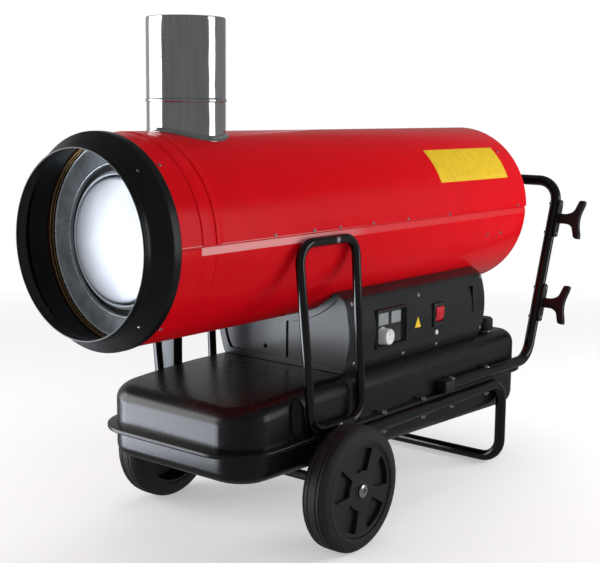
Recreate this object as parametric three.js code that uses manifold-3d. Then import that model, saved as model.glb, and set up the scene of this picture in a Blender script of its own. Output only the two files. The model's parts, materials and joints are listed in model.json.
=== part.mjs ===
// Indirect diesel forced air heater on a two-wheeled trolley.
// Millimetres, +Z up, ground at z = 0. The outlet faces -Y, the push handle is at +Y and the
// controls are on the +X side. A "station" is a distance behind the outlet rim, along the barrel.
import * as THREE from "three";
import { mergeVertices } from "three/addons/utils/BufferGeometryUtils.js";
import Module from "manifold-3d";

const wasm = await Module();
wasm.setup();

// ---------------------------------------------------------------- driving dimensions
const gap = 0.3; // running and seating clearance between separate pieces
const roundGap = 0.9; // between nested rounds, whose facets fall short of the true circle

const bigCircle = 40; // facets round the barrel's shells and ring
const innerCircle = 30; // facets round the exchanger, the flue and the wheels
const midCircle = 20; // facets round motors, caps and hubs
const smallCircle = 10; // facets round pins and bent tubes
const bendSteps = 4; // facets along each bend of a tube

// Barrel shells
const barrelRadius = 195;
const barrelAxis = 630; // height of the barrel's centre line
const shellWall = 2;
const shellFront = 48;
const bandFront = 113; // the raised band round the front joint
const bandRear = 162;
const bandRise = 1.8;
const bandRamp = 1.5;
const frontJoint = 147;
const lowerFrontJoint = 149;
const jointGroove = 1; // width of each half of the groove at a joint
const rearJoint = 848;
const upperShellRear = 1275;
const lowerShellRear = 1268;
const seamRise = 4; // the upper shell ends this far above the axis
const jogglePitch = 12; // height over which the lower shell steps in under the upper one
const joggleLap = 13; // height of the hidden lap above the axis

// Outlet ring
const rimStep = 22.5; // the rim's radius is this much less than the barrel's
const rimInset = 3; // width of the flat front face of the rim
const rimBead = 2; // the rolled rim stands this far out of the collar
const rimBeadLength = 8;
const collarLength = 20;
const coneRear = 42;
const ringRear = 62;
const ringWall = 2.4;

// Exchanger, chamber and liner
const linerFront = 87;
const linerRear = 836;
const linerPlay = 0.6; // between the liner and the shells round it
const linerWall = 1.8;
const linerLip = 2; // length of the turned-out lip at its rear end
const drumFront = 102;
const drumRear = 790;
const drumClearance = 2.8; // air gap between the liner and the drum
const drumDepth = 44; // of the drum, from its outside in to its air passage
const drumWall = 1.6;
const drumPadLength = 34;
const drumPadHalfAngle = 14; // degrees
const drumPadStations = [150, 720];
const chamberClearance = 10; // air gap between the drum and the chamber
const chamberFront = 120;
const chamberRear = 776;
const chamberWall = 2;
const domeFront = 84; // station of the middle of the domed cap
const domeRim = 96;
const domeStep = 8; // the cap's rim is this much less in radius than the chamber
const domeCrownShare = 0.45; // the nearly flat middle of the cap, as a share of its rim
const domeCrownFall = 3;
const domeTrough = 8; // width of the channel inside its rim
const domeFlare = 6; // from its rim back to the start of its skirt
const crossoverFront = 600;
const crossoverLength = 90;
const crossoverHalfAngle = 16; // degrees

// Flue
const flueStation = 272;
const flueRadius = 75;
const flueWall = 1.6;
const flueRim = 2.6; // thickness of the pipe's rolled end
const flueJoint = 880;
const flueTop = 1037;
const flueLap = 16; // length of the spigot inside the pipe
const flueBead = 1.6;
const flueBeadLength = 6;

// Burner, motor and fan
const burnerRadius = 52;
const burnerWall = 1.6;
const burnerFront = 735;
const burnerLength = 168;
const flangeRadius = 82;
const flangeThickness = 5;
const diffuserInset = 26;
const diffuserThickness = 3;
const nozzleRadius = 8;
const nozzleLength = 34;
const electrodeRadius = 4;
const electrodeSpacing = 19;
const electrodeLength = 78;
const pumpRadius = 42;
const motorRadius = 62;
const motorFront = 962;
const motorLength = 132;
const motorCap = 6; // chamfer of the motor's ends
const shaftRadius = 8;
const shaftLength = 64;
const fanFront = 1112;
const fanHubLength = 46;
const fanHubRadius = 34;
const fanTipGap = 17.2;
const fanBlades = 5;
const fanBladeRoot = 7; // depth of a blade's root in the hub
const fanBladeChord = 78;
const fanBladeThickness = 3;
const fanBladePitch = 32; // degrees
const bracketWall = 4;
const bracketInset = 22;
const bracketHalfWidth = 58;
const bracketSpread = 45; // degrees either way of straight down
const guardWire = 4;
const guardRings = 3;
const guardSpokes = 4; // each one runs right across
const guardHub = 40; // radius of the innermost ring

// Fuel tank
const flangeBottom = 223;
const flangeTop = 233;
const flangeHalfWidth = 212;
const tankFront = 194; // station of the flange's front edge
const tankRear = 1288;
const tankFrontCorner = 100;
const tankRearCorner = 74;
const bodyHalfWidth = 195;
const bodyInset = 25; // flange edge to body at the front and rear
const tankTop = 325;
const tankTopRound = 34;
const tankNoseFall = 16; // the top falls this far from the end of its nose to the front
const tankNoseRear = 480;
const tankNoseStep = 70; // longest edge in the nose's mesh
const tankBottom = 148;
const tankBottomRound = 32;
const tankBottomFall = 34; // the bottom falls this far from front to rear, to drain
const tankWall = 2.5;
const tankCornerSteps = 5;
const tankRoundSteps = 4;
const grooveStations = [372, 565]; // upright grooves in the sides of the upper half
const grooveHalfWidth = 24;
const grooveDepth = 12;
const fillerStation = 1175;
const fillerSide = 140;
const fillerRadius = 19;
const fillerWall = 2.5;
const fillerHeight = 20;
const fillerLip = 5;
const strainerDepth = 60;
const capRadius = 23;
const capHeight = 31;
const capTop = 4; // thickness of the cap's top
const capRibs = 20;
const capRibDepth = 1.2;

// Burner housing between the tank and the barrel
const housingFront = 558;
const housingRear = 1120;
const housingFoot = 166; // half width at the tank
const housingBulge = 196; // half width of the curve's control point
const housingShoulder = 167;
const housingShoulderHeight = 481;
const housingLip = 141; // half width where the side panel's lip meets the barrel
const panelWall = 2;
const panelSteps = 8;
const endPlateWall = 5;
const recessDepth = 2.5;
const recessMargin = 14;
const recessRib = 11; // half width of the rib between the two recesses

// Controls on the near side panel
const bezelFront = 652;
const bezelRear = 768;
const bezelBottom = 364;
const bezelTop = 449;
const bezelFace = 185.5; // distance of its outer face from the middle plane
const bezelDepth = 25;
const bezelRim = 5;
const bezelRecess = 10;
const knobStation = 682;
const knobHeight = 390;
const knobRadius = 19;
const knobLength = 24;
const knobSkirt = 10; // thickness of its round part
const knobTaper = 2; // from the skirt's radius to the grip's
const knobGrip = 7; // width of the raised grip bar
const spindleRadius = 3;
const spindleLength = 9;
const rockerStation = 895;
const rockerHeight = 410;
const rockerHalfWidth = 15.7;
const rockerHalfHeight = 17.3;
const rockerFace = 184; // distance of its pivot from the middle plane
const rockerCrown = 8.5;
const rockerShoulder = 7.7;
const rockerTilt = 8; // degrees either way of level; stored with its top half out
const rockerBack = 4;
const frameFront = 872;
const frameRear = 918;
const frameBottom = 382;
const frameTop = 436;
const frameFace = 187;
const frameDepth = 12;
const framePocket = 9.5;
const rockerSwing = 1; // room above and below the rocker
const resetStation = 895;
const resetHeight = 367;
const resetRadius = 6;
const resetFace = 181.5;
const resetLength = 14;
const inletSide = 110;
const inletHeight = 372;
const inletRadius = 8;
const inletFlange = 13;
const inletLength = 20;
const inletBore = 4.5;

// Parts in the housing
const transformerSize = [70, 84, 58];
const transformerPlace = [-30, 690];
const boardSize = [4, 90, 104];
const boardPlace = [132, 830];
const filterRadius = 24;
const filterHeight = 46;
const fuelLineRadius = 4;
const fuelLineSide = 60;
const fuelLineStation = 930;
const fuelLineBend = 22;
const fuelLineOffset = 30; // sideways step on the way up
const fuelLineStep = 540; // height at which it starts

// Wheels and axle
const axleStation = 465;
const wheelRadius = 126.7;
const wheelInner = 227;
const wheelOuter = 293;
const treadCrown = 4; // fall of the tread from its middle to its edges
const treadEdge = 8;
const treadFlat = 18;
const tyreShoulder = 15.5; // height of the rounded shoulder on each side
const rimDiscRadius = 95;
const rimInnerRadius = 89;
const rimWeb = 22; // thickness of the disc behind the rim's face
const rimEdge = 4; // the rim's face stands this far inside the tyre's
const hubRadius = 24;
const wheelPockets = 5;
const pocketInner = 40;
const pocketOuter = 86;
const pocketSweep = 46; // degrees
const pocketTurn = 18; // degrees from level to the middle of the first pocket
const pocketDepth = 17;
const axleRadius = 10;
const collarRadius = 14;
const capDiscRadius = 14;
const capDiscThickness = 5.3;

// Tube work
const railRadius = 13;
const tubeSide = 210; // rails, handle arms and hoop feet stand this far out
const railFront = 428;
const footStation = 1151;
const footBend = 50;
const footFlat = 0.6; // the ground bar is worn this flat
const axlePlateWall = 5;
const axlePlateHalfLength = 32;
const axlePlateDrop = 22;
const handleRadius = 13;
const handleFront = 881;
const handleCorner = 1275.6; // where the arm and the leaning leg would meet
const handleBend = 57;
const handleLean = 17.8; // degrees from upright
const handleTop = 690;
const endCapRadius = 14;
const endCapLength = 8;
const hoopRadius = 9.5;
const hoopBend = 38;
const hoopTop = 617;
const hoopTopStations = [363, 543];
const hoopFootStations = [403, 567];
const stayFront = 431;
const stayRear = 457;
const stayGap = 4.6; // from the tank's side, as the stay stands on the flange
const stayDepth = 48;
const stayWall = 2;

// Cord hooks on the handle's near leg
const hookHeights = [387, 597];
const hookPlate = [22, 97]; // across and along the leg
const hookPlateWall = 5;
const hookWidth = 14; // of the stem and horn, across the leg
const hookReach = 71; // from the leg's side to the horn's tips
const hookStem = 24; // depth of the stem
const hookTip = 49; // from the stem's middle to the end of each arm
const hookArm = 15; // thickness of each arm
const hookWaist = 9; // the horn's outer side dips in this far between its arms

// ---------------------------------------------------------------- derived dimensions
const lean = THREE.MathUtils.degToRad(handleLean);
const flangeSeat = flangeTop + gap;
const handleArmHeight = flangeSeat + handleRadius;
const handleBarStation = handleCorner + (handleTop - handleArmHeight) * Math.tan(lean);
const overallLength = handleBarStation + handleRadius * Math.cos(Math.PI / smallCircle);
const railHeight = flangeBottom - gap - railRadius;
const shellBore = barrelRadius - shellWall;
const lapRadius = shellBore - roundGap; // the lower shell's lap inside the upper shell
const lapBore = lapRadius - shellWall;
const seatRadius = lapBore - roundGap; // what stands inside the shells reaches this far
const rimRadius = barrelRadius - rimStep;
const linerRadius = seatRadius - linerPlay;
const drumRadius = linerRadius - linerWall - drumClearance;
const drumBore = drumRadius - drumDepth;
const chamberRadius = drumBore - chamberClearance;
const domeRimRadius = chamberRadius - domeStep;
const domeCrownRadius = domeRimRadius * domeCrownShare;
const fanRadius = seatRadius - fanTipGap;
const bracketFrom = 270 - bracketSpread;
const bracketTo = 270 + bracketSpread;
const pumpFront = burnerFront + burnerLength + gap;
const knobBase = bezelFace - bezelRecess + gap;
const chamberSeat = chamberRear - chamberWall;
const housingFloor = tankTop + gap;

/** The Y coordinate of a station. */
function along(station) {
  return station - overallLength / 2;
}

// ---------------------------------------------------------------- geometry helpers
/** A manifold solid made from a closed three.js geometry. */
function solid(geometry) {
  const bare = new THREE.BufferGeometry().setAttribute("position", geometry.getAttribute("position"));
  bare.setIndex(geometry.index);
  const merged = mergeVertices(bare.index ? bare.toNonIndexed() : bare, 1e-4);
  const triangles = [];
  for (let i = 0; i < merged.index.count; i += 3) {
    const [a, b, c] = merged.index.array.subarray(i, i + 3);
    if (a !== b && b !== c && c !== a) triangles.push(a, b, c);
  }
  return new wasm.Manifold(
    new wasm.Mesh({
      numProp: 3,
      vertProperties: merged.attributes.position.array,
      triVerts: new Uint32Array(triangles),
    }),
  );
}

/** The three.js geometry of a manifold solid. */
function geometryOf(made) {
  const mesh = made.getMesh();
  const geometry = new THREE.BufferGeometry();
  geometry.setAttribute("position", new THREE.BufferAttribute(mesh.vertProperties, 3));
  geometry.setIndex(new THREE.BufferAttribute(mesh.triVerts, 1));
  geometry.computeVertexNormals();
  return geometry;
}

function join(first, ...others) {
  return others.reduce((made, other) => made.add(other), first);
}

function cut(first, ...others) {
  return others.reduce((made, other) => made.subtract(other), first);
}

/** Points in counterclockwise order, so that a solid made from them faces outwards. */
function counterclockwise(points) {
  return THREE.ShapeUtils.area(points) < 0 ? [...points].reverse() : points;
}

/**
 * A solid of revolution about +Y through the origin. The profile holds [distance along, radius]
 * pairs and closes on itself, or starts and ends on the axis.
 */
function latheY(profile, facets) {
  const points = counterclockwise(profile.map(([y, r]) => new THREE.Vector2(r, y)));
  if (points.every((point) => point.x > 0)) points.push(points[0].clone());
  return new THREE.LatheGeometry(points, facets);
}

/** A solid of revolution about the barrel's axis, from [station, radius] pairs. */
function turned(profile, facets = bigCircle) {
  return solid(latheY(profile, facets).translate(0, along(0), barrelAxis));
}

/** A solid of revolution about an upright axis, from [height, radius] pairs. */
function upright(profile, x, station, facets = midCircle) {
  const geometry = latheY(profile, facets).rotateX(Math.PI / 2);
  return solid(geometry.translate(x, along(station), 0));
}

/** A solid of revolution about an axis along +X, from [x, radius] pairs. */
function crosswise(profile, station, height, facets = midCircle) {
  const geometry = latheY(profile, facets).rotateZ(-Math.PI / 2);
  return solid(geometry.translate(0, along(station), height));
}

/** Turns [x, y] pairs into a shape. */
function outline(pairs) {
  return new THREE.Shape(pairs.map(([x, y]) => new THREE.Vector2(x, y)));
}

function prism(shape, depth) {
  return new THREE.ExtrudeGeometry(shape, { depth, bevelEnabled: false, curveSegments: bigCircle });
}

/** An outline of [x, z] pairs, drawn along the barrel from one station to another. */
function drawnAlong(pairs, front, rear) {
  const geometry = prism(outline(pairs), rear - front).rotateX(Math.PI / 2);
  return solid(geometry.translate(0, along(rear), 0));
}

/** An outline of [station, z] pairs, drawn across the machine from one x to another. */
function drawnAcross(pairs, left, right) {
  const turn = new THREE.Matrix4().makeBasis(
    new THREE.Vector3(0, 1, 0),
    new THREE.Vector3(0, 0, 1),
    new THREE.Vector3(1, 0, 0),
  );
  const section = pairs.map(([station, z]) => [along(station), z]);
  return solid(prism(outline(section), right - left).applyMatrix4(turn).translate(left, 0, 0));
}

/** A block from two opposite corners, each [x, station, z]. */
function block(low, high) {
  const size = high.map((value, i) => value - low[i]);
  const middle = high.map((value, i) => (value + low[i]) / 2);
  return solid(new THREE.BoxGeometry(...size).translate(middle[0], along(middle[1]), middle[2]));
}

/** Points on an arc about [cx, cz], from one angle to another, in degrees. */
function arc(cx, cz, radius, from, to, steps) {
  const points = [];
  for (let i = 0; i <= steps; i += 1) {
    const angle = THREE.MathUtils.degToRad(from + ((to - from) * i) / steps);
    points.push([cx + radius * Math.cos(angle), cz + radius * Math.sin(angle)]);
  }
  return points;
}

/** An arc whose chords stay outside the circle of that radius. */
function arcAround(cx, cz, radius, from, to, steps) {
  const half = THREE.MathUtils.degToRad((to - from) / steps / 2);
  return arc(cx, cz, radius / Math.cos(half), from, to, steps);
}

/** The outline of a sheet of even wall that follows a line of [x, z] points on its outer face. */
function sheetOutline(points, wall) {
  const inner = points.map((point, i) => {
    const before = points[Math.max(i - 1, 0)];
    const after = points[Math.min(i + 1, points.length - 1)];
    const length = Math.hypot(after[0] - before[0], after[1] - before[1]);
    const across = (wall * (after[1] - before[1])) / length;
    const up = (wall * (after[0] - before[0])) / length;
    return [point[0] - across, point[1] + up];
  });
  return [...points, ...inner.reverse()];
}

/** A line through bend points whose stations fall only on its bends' arcs and its ends. */
class BentLine extends THREE.Curve {
  constructor(corners, bend, closed) {
    super();
    this.stops = [];
    const count = corners.length;
    corners.forEach((corner, i) => {
      if (!closed && (i === 0 || i === count - 1)) {
        const other = corners[i === 0 ? 1 : count - 2];
        const along = other.clone().sub(corner).normalize();
        this.stops.push({ place: corner.clone(), heading: i === 0 ? along : along.negate() });
        return;
      }
      const into = corner.clone().sub(corners[(i + count - 1) % count]).normalize();
      const out = corners[(i + 1) % count].clone().sub(corner).normalize();
      const turn = into.angleTo(out);
      const setback = bend * Math.tan(turn / 2);
      const start = corner.clone().addScaledVector(into, -setback);
      const inward = out.clone().addScaledVector(into, -into.dot(out)).normalize();
      const centre = start.clone().addScaledVector(inward, bend);
      for (let step = 0; step <= bendSteps; step += 1) {
        const angle = (turn * step) / bendSteps;
        const place = centre.clone().addScaledVector(inward, -bend * Math.cos(angle));
        place.addScaledVector(into, bend * Math.sin(angle));
        const heading = into.clone().multiplyScalar(Math.cos(angle));
        heading.addScaledVector(inward, Math.sin(angle));
        this.stops.push({ place, heading });
      }
    });
    if (closed) this.stops.push(this.stops[0]);
  }

  stop(t) {
    return this.stops[Math.round(t * (this.stops.length - 1))];
  }

  getPointAt(t, target = new THREE.Vector3()) {
    return target.copy(this.stop(t).place);
  }

  getTangentAt(t, target = new THREE.Vector3()) {
    return target.copy(this.stop(t).heading);
  }
}

/** Vectors from [x, station, z] corners. */
function placed(corners) {
  return corners.map(([x, station, z]) => new THREE.Vector3(x, along(station), z));
}

/** A round tube bent at each corner, [x, station, z], as one solid bar. */
function bentTube(corners, radius, bend) {
  const line = new BentLine(placed(corners), bend, false);
  const section = outline(arc(0, 0, radius, 0, 360 - 360 / smallCircle, smallCircle - 1));
  const steps = line.stops.length - 1;
  return solid(new THREE.ExtrudeGeometry(section, { steps, extrudePath: line, bevelEnabled: false }));
}

/** A closed ring of bent tube. */
function closedTube(corners, radius, bend) {
  const line = new BentLine(placed(corners), bend, true);
  return solid(new THREE.TubeGeometry(line, line.stops.length - 1, radius, smallCircle, true));
}

/** A solid turned over to the far side. */
function mirrored(made) {
  return made.mirror([1, 0, 0]);
}

/** An upright cylinder used as a cutter. */
function drill(x, station, radius, bottom, top, facets = midCircle) {
  return upright([[bottom, 0], [bottom, radius], [top, radius], [top, 0]], x, station, facets);
}

/** The flue's way out through what lies round the exchanger. */
function flueHole() {
  return drill(0, flueStation, flueRadius + gap, barrelAxis, barrelAxis + 2 * barrelRadius, innerCircle);
}

/** A cylinder along the barrel, about the point [x, z]. */
function rodAlong(x, z, radius, front, rear, facets = smallCircle) {
  const profile = [[front, 0], [front, radius], [rear, radius], [rear, 0]];
  return solid(latheY(profile, facets).translate(x, along(0), z));
}

// ---------------------------------------------------------------- materials
function finish(color, roughness, metalness) {
  return new THREE.MeshStandardMaterial({ color, roughness, metalness });
}

const redPaint = finish("#d9101f", 0.25, 0.1);
const blackEnamel = finish("#17181a", 0.3, 0.2);
const blackTube = finish("#101113", 0.2, 0.2);
const greyBlackPaint = finish("#2b2e31", 0.5, 0.2);
const stainless = finish("#c9ccce", 0.2, 1);
const aluminizedSteel = finish("#dfe3e6", 0.3, 0.9);
const bronzeSteel = finish("#8c6a3c", 0.35, 0.9);
const zincSteel = finish("#a9adb0", 0.4, 0.9);
const brass = finish("#b08d4a", 0.35, 0.9);
const ceramic = finish("#e9e6dc", 0.5, 0);
const castAluminium = finish("#8d9194", 0.55, 0.8);
const tyreRubber = finish("#1a1a1b", 0.85, 0);
const blackPlastic = finish("#202123", 0.55, 0);
const whitePlastic = finish("#e6e7e6", 0.4, 0);
const redPlastic = finish("#d2232f", 0.25, 0);
const boardGreen = finish("#1f5b3a", 0.6, 0);

const heater = new THREE.Group();

function piece(name, made, material) {
  const mesh = new THREE.Mesh(geometryOf(made), material);
  mesh.name = name;
  heater.add(mesh);
}

// ---------------------------------------------------------------- barrel
const seamHeight = barrelAxis + seamRise;

/** Everything above the seam, as a cutter for the upper shells. */
function aboveSeam() {
  const reach = barrelRadius * 2;
  return block([-reach, 0, seamHeight], [reach, overallLength, seamHeight + reach]);
}

function upperShell(profile) {
  return turned(profile).intersect(aboveSeam());
}

/** Half of the lower shell's section: it steps in at the top to lap inside the upper shell. */
function lowerShellOutline(joggled) {
  const rampHeight = joggled ? jogglePitch : gap;
  const ramp = THREE.MathUtils.radToDeg(Math.asin(rampHeight / barrelRadius));
  const lap = THREE.MathUtils.radToDeg(Math.asin(joggleLap / shellBore));
  const steps = bigCircle / 2;
  const outer = arc(0, barrelAxis, barrelRadius, 180 + ramp, 360 - ramp, steps);
  const inner = arc(0, barrelAxis, shellBore, 360 - ramp, 180 + ramp, steps);
  return [
    ...outer,
    ...arc(0, barrelAxis, lapRadius, 0, lap, 1),
    ...arc(0, barrelAxis, lapBore, lap, 0, 1),
    ...inner,
    ...arc(0, barrelAxis, lapBore, 180, 180 - lap, 1),
    ...arc(0, barrelAxis, lapRadius, 180 - lap, 180, 1),
  ];
}

function shells() {
  const bandRadius = barrelRadius + bandRise;
  const bandBore = bandRadius - shellWall;
  const grooveRadius = barrelRadius + bandRise / 3;
  piece(
    "front_shell_upper",
    upperShell([
      [shellFront, shellBore],
      [shellFront, barrelRadius],
      [bandFront, barrelRadius],
      [bandFront + bandRamp, bandRadius],
      [frontJoint - jointGroove, bandRadius],
      [frontJoint - jointGroove, grooveRadius],
      [frontJoint - gap / 2, grooveRadius],
      [frontJoint - gap / 2, bandBore],
      [bandFront + bandRamp, bandBore],
      [bandFront, shellBore],
    ]),
    redPaint,
  );
  piece(
    "main_shell_upper",
    upperShell([
      [frontJoint + gap / 2, bandBore],
      [frontJoint + gap / 2, grooveRadius],
      [frontJoint + jointGroove, grooveRadius],
      [frontJoint + jointGroove, bandRadius],
      [bandRear - bandRamp, bandRadius],
      [bandRear, barrelRadius],
      [rearJoint - gap / 2, barrelRadius],
      [rearJoint - gap / 2, shellBore],
      [bandRear, shellBore],
      [bandRear - bandRamp, bandBore],
    ]).subtract(flueHole()),
    redPaint,
  );
  piece(
    "rear_shell_upper",
    upperShell([
      [rearJoint + gap / 2, shellBore],
      [rearJoint + gap / 2, barrelRadius],
      [upperShellRear, barrelRadius],
      [upperShellRear, shellBore],
    ]),
    redPaint,
  );
  piece(
    "front_shell_lower",
    join(
      drawnAlong(lowerShellOutline(false), shellFront, bandFront),
      drawnAlong(lowerShellOutline(true), bandFront, lowerFrontJoint - gap / 2),
    ),
    redPaint,
  );
  const lineHole = drill(fuelLineSide, fuelLineStation, fuelLineRadius + 4 * gap, housingFloor, barrelAxis);
  piece(
    "main_shell_lower",
    drawnAlong(lowerShellOutline(true), lowerFrontJoint + gap / 2, lowerShellRear).subtract(lineHole),
    redPaint,
  );
}

function outletRing() {
  const collarRadius = rimRadius - rimBead;
  const bandBore = barrelRadius + roundGap;
  const bandRadius = bandBore + ringWall;
  piece(
    "outlet_ring",
    turned([
      [0, rimRadius - rimInset],
      [0, rimRadius - rimBead / 2],
      [rimBead, rimRadius],
      [rimBeadLength - rimBead, rimRadius],
      [rimBeadLength, collarRadius],
      [collarLength, collarRadius],
      [coneRear, bandRadius - ringWall],
      [coneRear + ringWall, bandRadius],
      [ringRear, bandRadius],
      [ringRear, bandBore],
      [coneRear + ringWall, bandBore],
      [coneRear, bandBore - ringWall],
      [collarLength + ringWall / 2, collarRadius - ringWall],
      [rimBeadLength, collarRadius - ringWall],
    ]),
    blackEnamel,
  );
}

function innerDrum() {
  const linerBore = linerRadius - linerWall;
  piece(
    "heat_shield_liner",
    turned([
      [linerFront, linerBore],
      [linerFront, linerRadius],
      [linerRear - linerLip, linerRadius],
      [linerRear - linerLip, seatRadius],
      [linerRear, seatRadius],
      [linerRear, linerBore],
    ]).subtract(flueHole()),
    bronzeSteel,
  );
  const shell = turned([
    [drumFront, drumBore],
    [drumFront, drumRadius],
    [drumRear, drumRadius],
    [drumRear, drumBore],
  ], innerCircle);
  const smokeSpace = turned([
    [drumFront + drumWall, drumBore + drumWall],
    [drumFront + drumWall, drumRadius - drumWall],
    [drumRear - drumWall, drumRadius - drumWall],
    [drumRear - drumWall, drumBore + drumWall],
  ], innerCircle);
  const smokeHoleFoot = barrelAxis + drumBore + drumWall;
  const smokeHole = drill(0, flueStation, flueRadius - flueWall, smokeHoleFoot, flueTop, innerCircle);
  const crossoverMiddle = crossoverFront + crossoverLength / 2;
  const crossoverFoot = barrelAxis - drumBore - 3 * drumWall;
  const crossoverHole = drill(0, crossoverMiddle, crossoverLength / 4, crossoverFoot, barrelAxis);
  piece("heat_exchanger", cut(shell, smokeSpace, smokeHole, crossoverHole), aluminizedSteel);

  drumPadStations.forEach((station, i) => {
    const from = 270 - drumPadHalfAngle;
    const to = 270 + drumPadHalfAngle;
    const pad = [
      ...arc(0, barrelAxis, linerBore - roundGap, from, to, bendSteps),
      ...arcAround(0, barrelAxis, drumRadius + gap, to, from, bendSteps),
    ];
    const name = i === 0 ? "exchanger_pad_front" : "exchanger_pad_rear";
    piece(name, drawnAlong(pad, station, station + drumPadLength), zincSteel);
  });

  const chamber = turned([
    [chamberFront, chamberRadius - chamberWall],
    [chamberFront, chamberRadius],
    [chamberRear, chamberRadius],
    [chamberRear, burnerRadius + gap],
    [chamberSeat, burnerRadius + gap],
    [chamberSeat, chamberRadius - chamberWall],
  ], innerCircle);
  piece("combustion_chamber", cut(chamber, crossoverHole), stainless);
  const left = 270 - crossoverHalfAngle;
  const right = 270 + crossoverHalfAngle;
  const crossover = [
    ...arc(0, barrelAxis, drumBore - roundGap, left, right, bendSteps),
    ...arcAround(0, barrelAxis, chamberRadius + gap, right, left, bendSteps),
  ];
  piece(
    "crossover_duct",
    cut(drawnAlong(crossover, crossoverFront, crossoverFront + crossoverLength), crossoverHole),
    stainless,
  );
  piece(
    "chamber_dome",
    turned([
      [domeFront, 0],
      [domeFront + domeCrownFall, domeCrownRadius],
      [domeRim + 1, domeRimRadius - domeTrough],
      [domeRim, domeRimRadius],
      [domeRim + domeFlare, chamberRadius - chamberWall],
      [chamberFront - gap, chamberRadius],
      [chamberFront - gap, chamberRadius - chamberWall],
      [domeRim + domeFlare + chamberWall, chamberRadius - 2 * chamberWall],
      [domeRim + 2 * chamberWall, domeRimRadius - domeTrough],
      [domeFront + domeCrownFall + chamberWall, domeCrownRadius],
      [domeFront + chamberWall, 0],
    ], innerCircle),
    aluminizedSteel,
  );
}

function flue() {
  const spigotBore = flueRadius - 2 * flueWall - gap;
  const spigotFoot = barrelAxis + drumRadius / 2;
  const spigot = upright(
    [
      [spigotFoot, spigotBore],
      [spigotFoot, flueRadius],
      [flueJoint - gap, flueRadius],
      [flueJoint - gap, flueRadius - flueWall - gap],
      [flueJoint + flueLap, flueRadius - flueWall - gap],
      [flueJoint + flueLap, spigotBore],
    ],
    0,
    flueStation,
    innerCircle,
  );
  const drumCutter = turned([
    [0, 0],
    [0, drumRadius + gap],
    [overallLength, drumRadius + gap],
    [overallLength, 0],
  ], innerCircle);
  piece("flue_spigot", spigot.subtract(drumCutter), stainless);
  piece(
    "flue_pipe",
    upright(
      [
        [flueJoint, flueRadius - flueWall],
        [flueJoint, flueRadius + flueBead],
        [flueJoint + flueBeadLength, flueRadius + flueBead],
        [flueJoint + flueBeadLength + flueBead, flueRadius],
        [flueTop, flueRadius],
        [flueTop, flueRadius - flueRim],
        [flueTop - flueBeadLength, flueRadius - flueRim],
        [flueTop - flueBeadLength, flueRadius - flueWall],
      ],
      0,
      flueStation,
      innerCircle,
    ),
    stainless,
  );
}

// ---------------------------------------------------------------- burner, motor and fan
function burner() {
  const bore = burnerRadius - burnerWall;
  const rear = burnerFront + burnerLength;
  piece(
    "burner_tube",
    turned(
      [[burnerFront, bore], [burnerFront, burnerRadius], [rear, burnerRadius], [rear, bore]],
      midCircle,
    ),
    stainless,
  );
  const flangeFront = chamberRear + gap;
  piece(
    "burner_flange",
    turned(
      [
        [flangeFront, burnerRadius + gap],
        [flangeFront, flangeRadius],
        [flangeFront + flangeThickness, flangeRadius],
        [flangeFront + flangeThickness, burnerRadius + gap],
      ],
      midCircle,
    ),
    castAluminium,
  );
  const diffuserFront = burnerFront + diffuserInset;
  const diffuserRear = diffuserFront + diffuserThickness;
  const electrodes = [-electrodeSpacing, electrodeSpacing];
  const disc = turned(
    [
      [diffuserFront, nozzleRadius + gap],
      [diffuserFront, bore - gap],
      [diffuserRear, bore - gap],
      [diffuserRear, nozzleRadius + gap],
    ],
    midCircle,
  );
  const holes = electrodes.map((x) =>
    rodAlong(x, barrelAxis, electrodeRadius + gap, diffuserFront - 1, diffuserRear + 1),
  );
  piece("flame_diffuser", cut(disc, ...holes), stainless);
  piece(
    "fuel_nozzle",
    rodAlong(0, barrelAxis, nozzleRadius, diffuserFront - nozzleLength / 3, diffuserFront + nozzleLength),
    brass,
  );
  electrodes.forEach((x, i) => {
    const start = diffuserFront - electrodeLength / 6;
    const made = rodAlong(x, barrelAxis, electrodeRadius, start, start + electrodeLength);
    piece(i === 0 ? "ignition_electrode_left" : "ignition_electrode_right", made, ceramic);
  });
}

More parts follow.
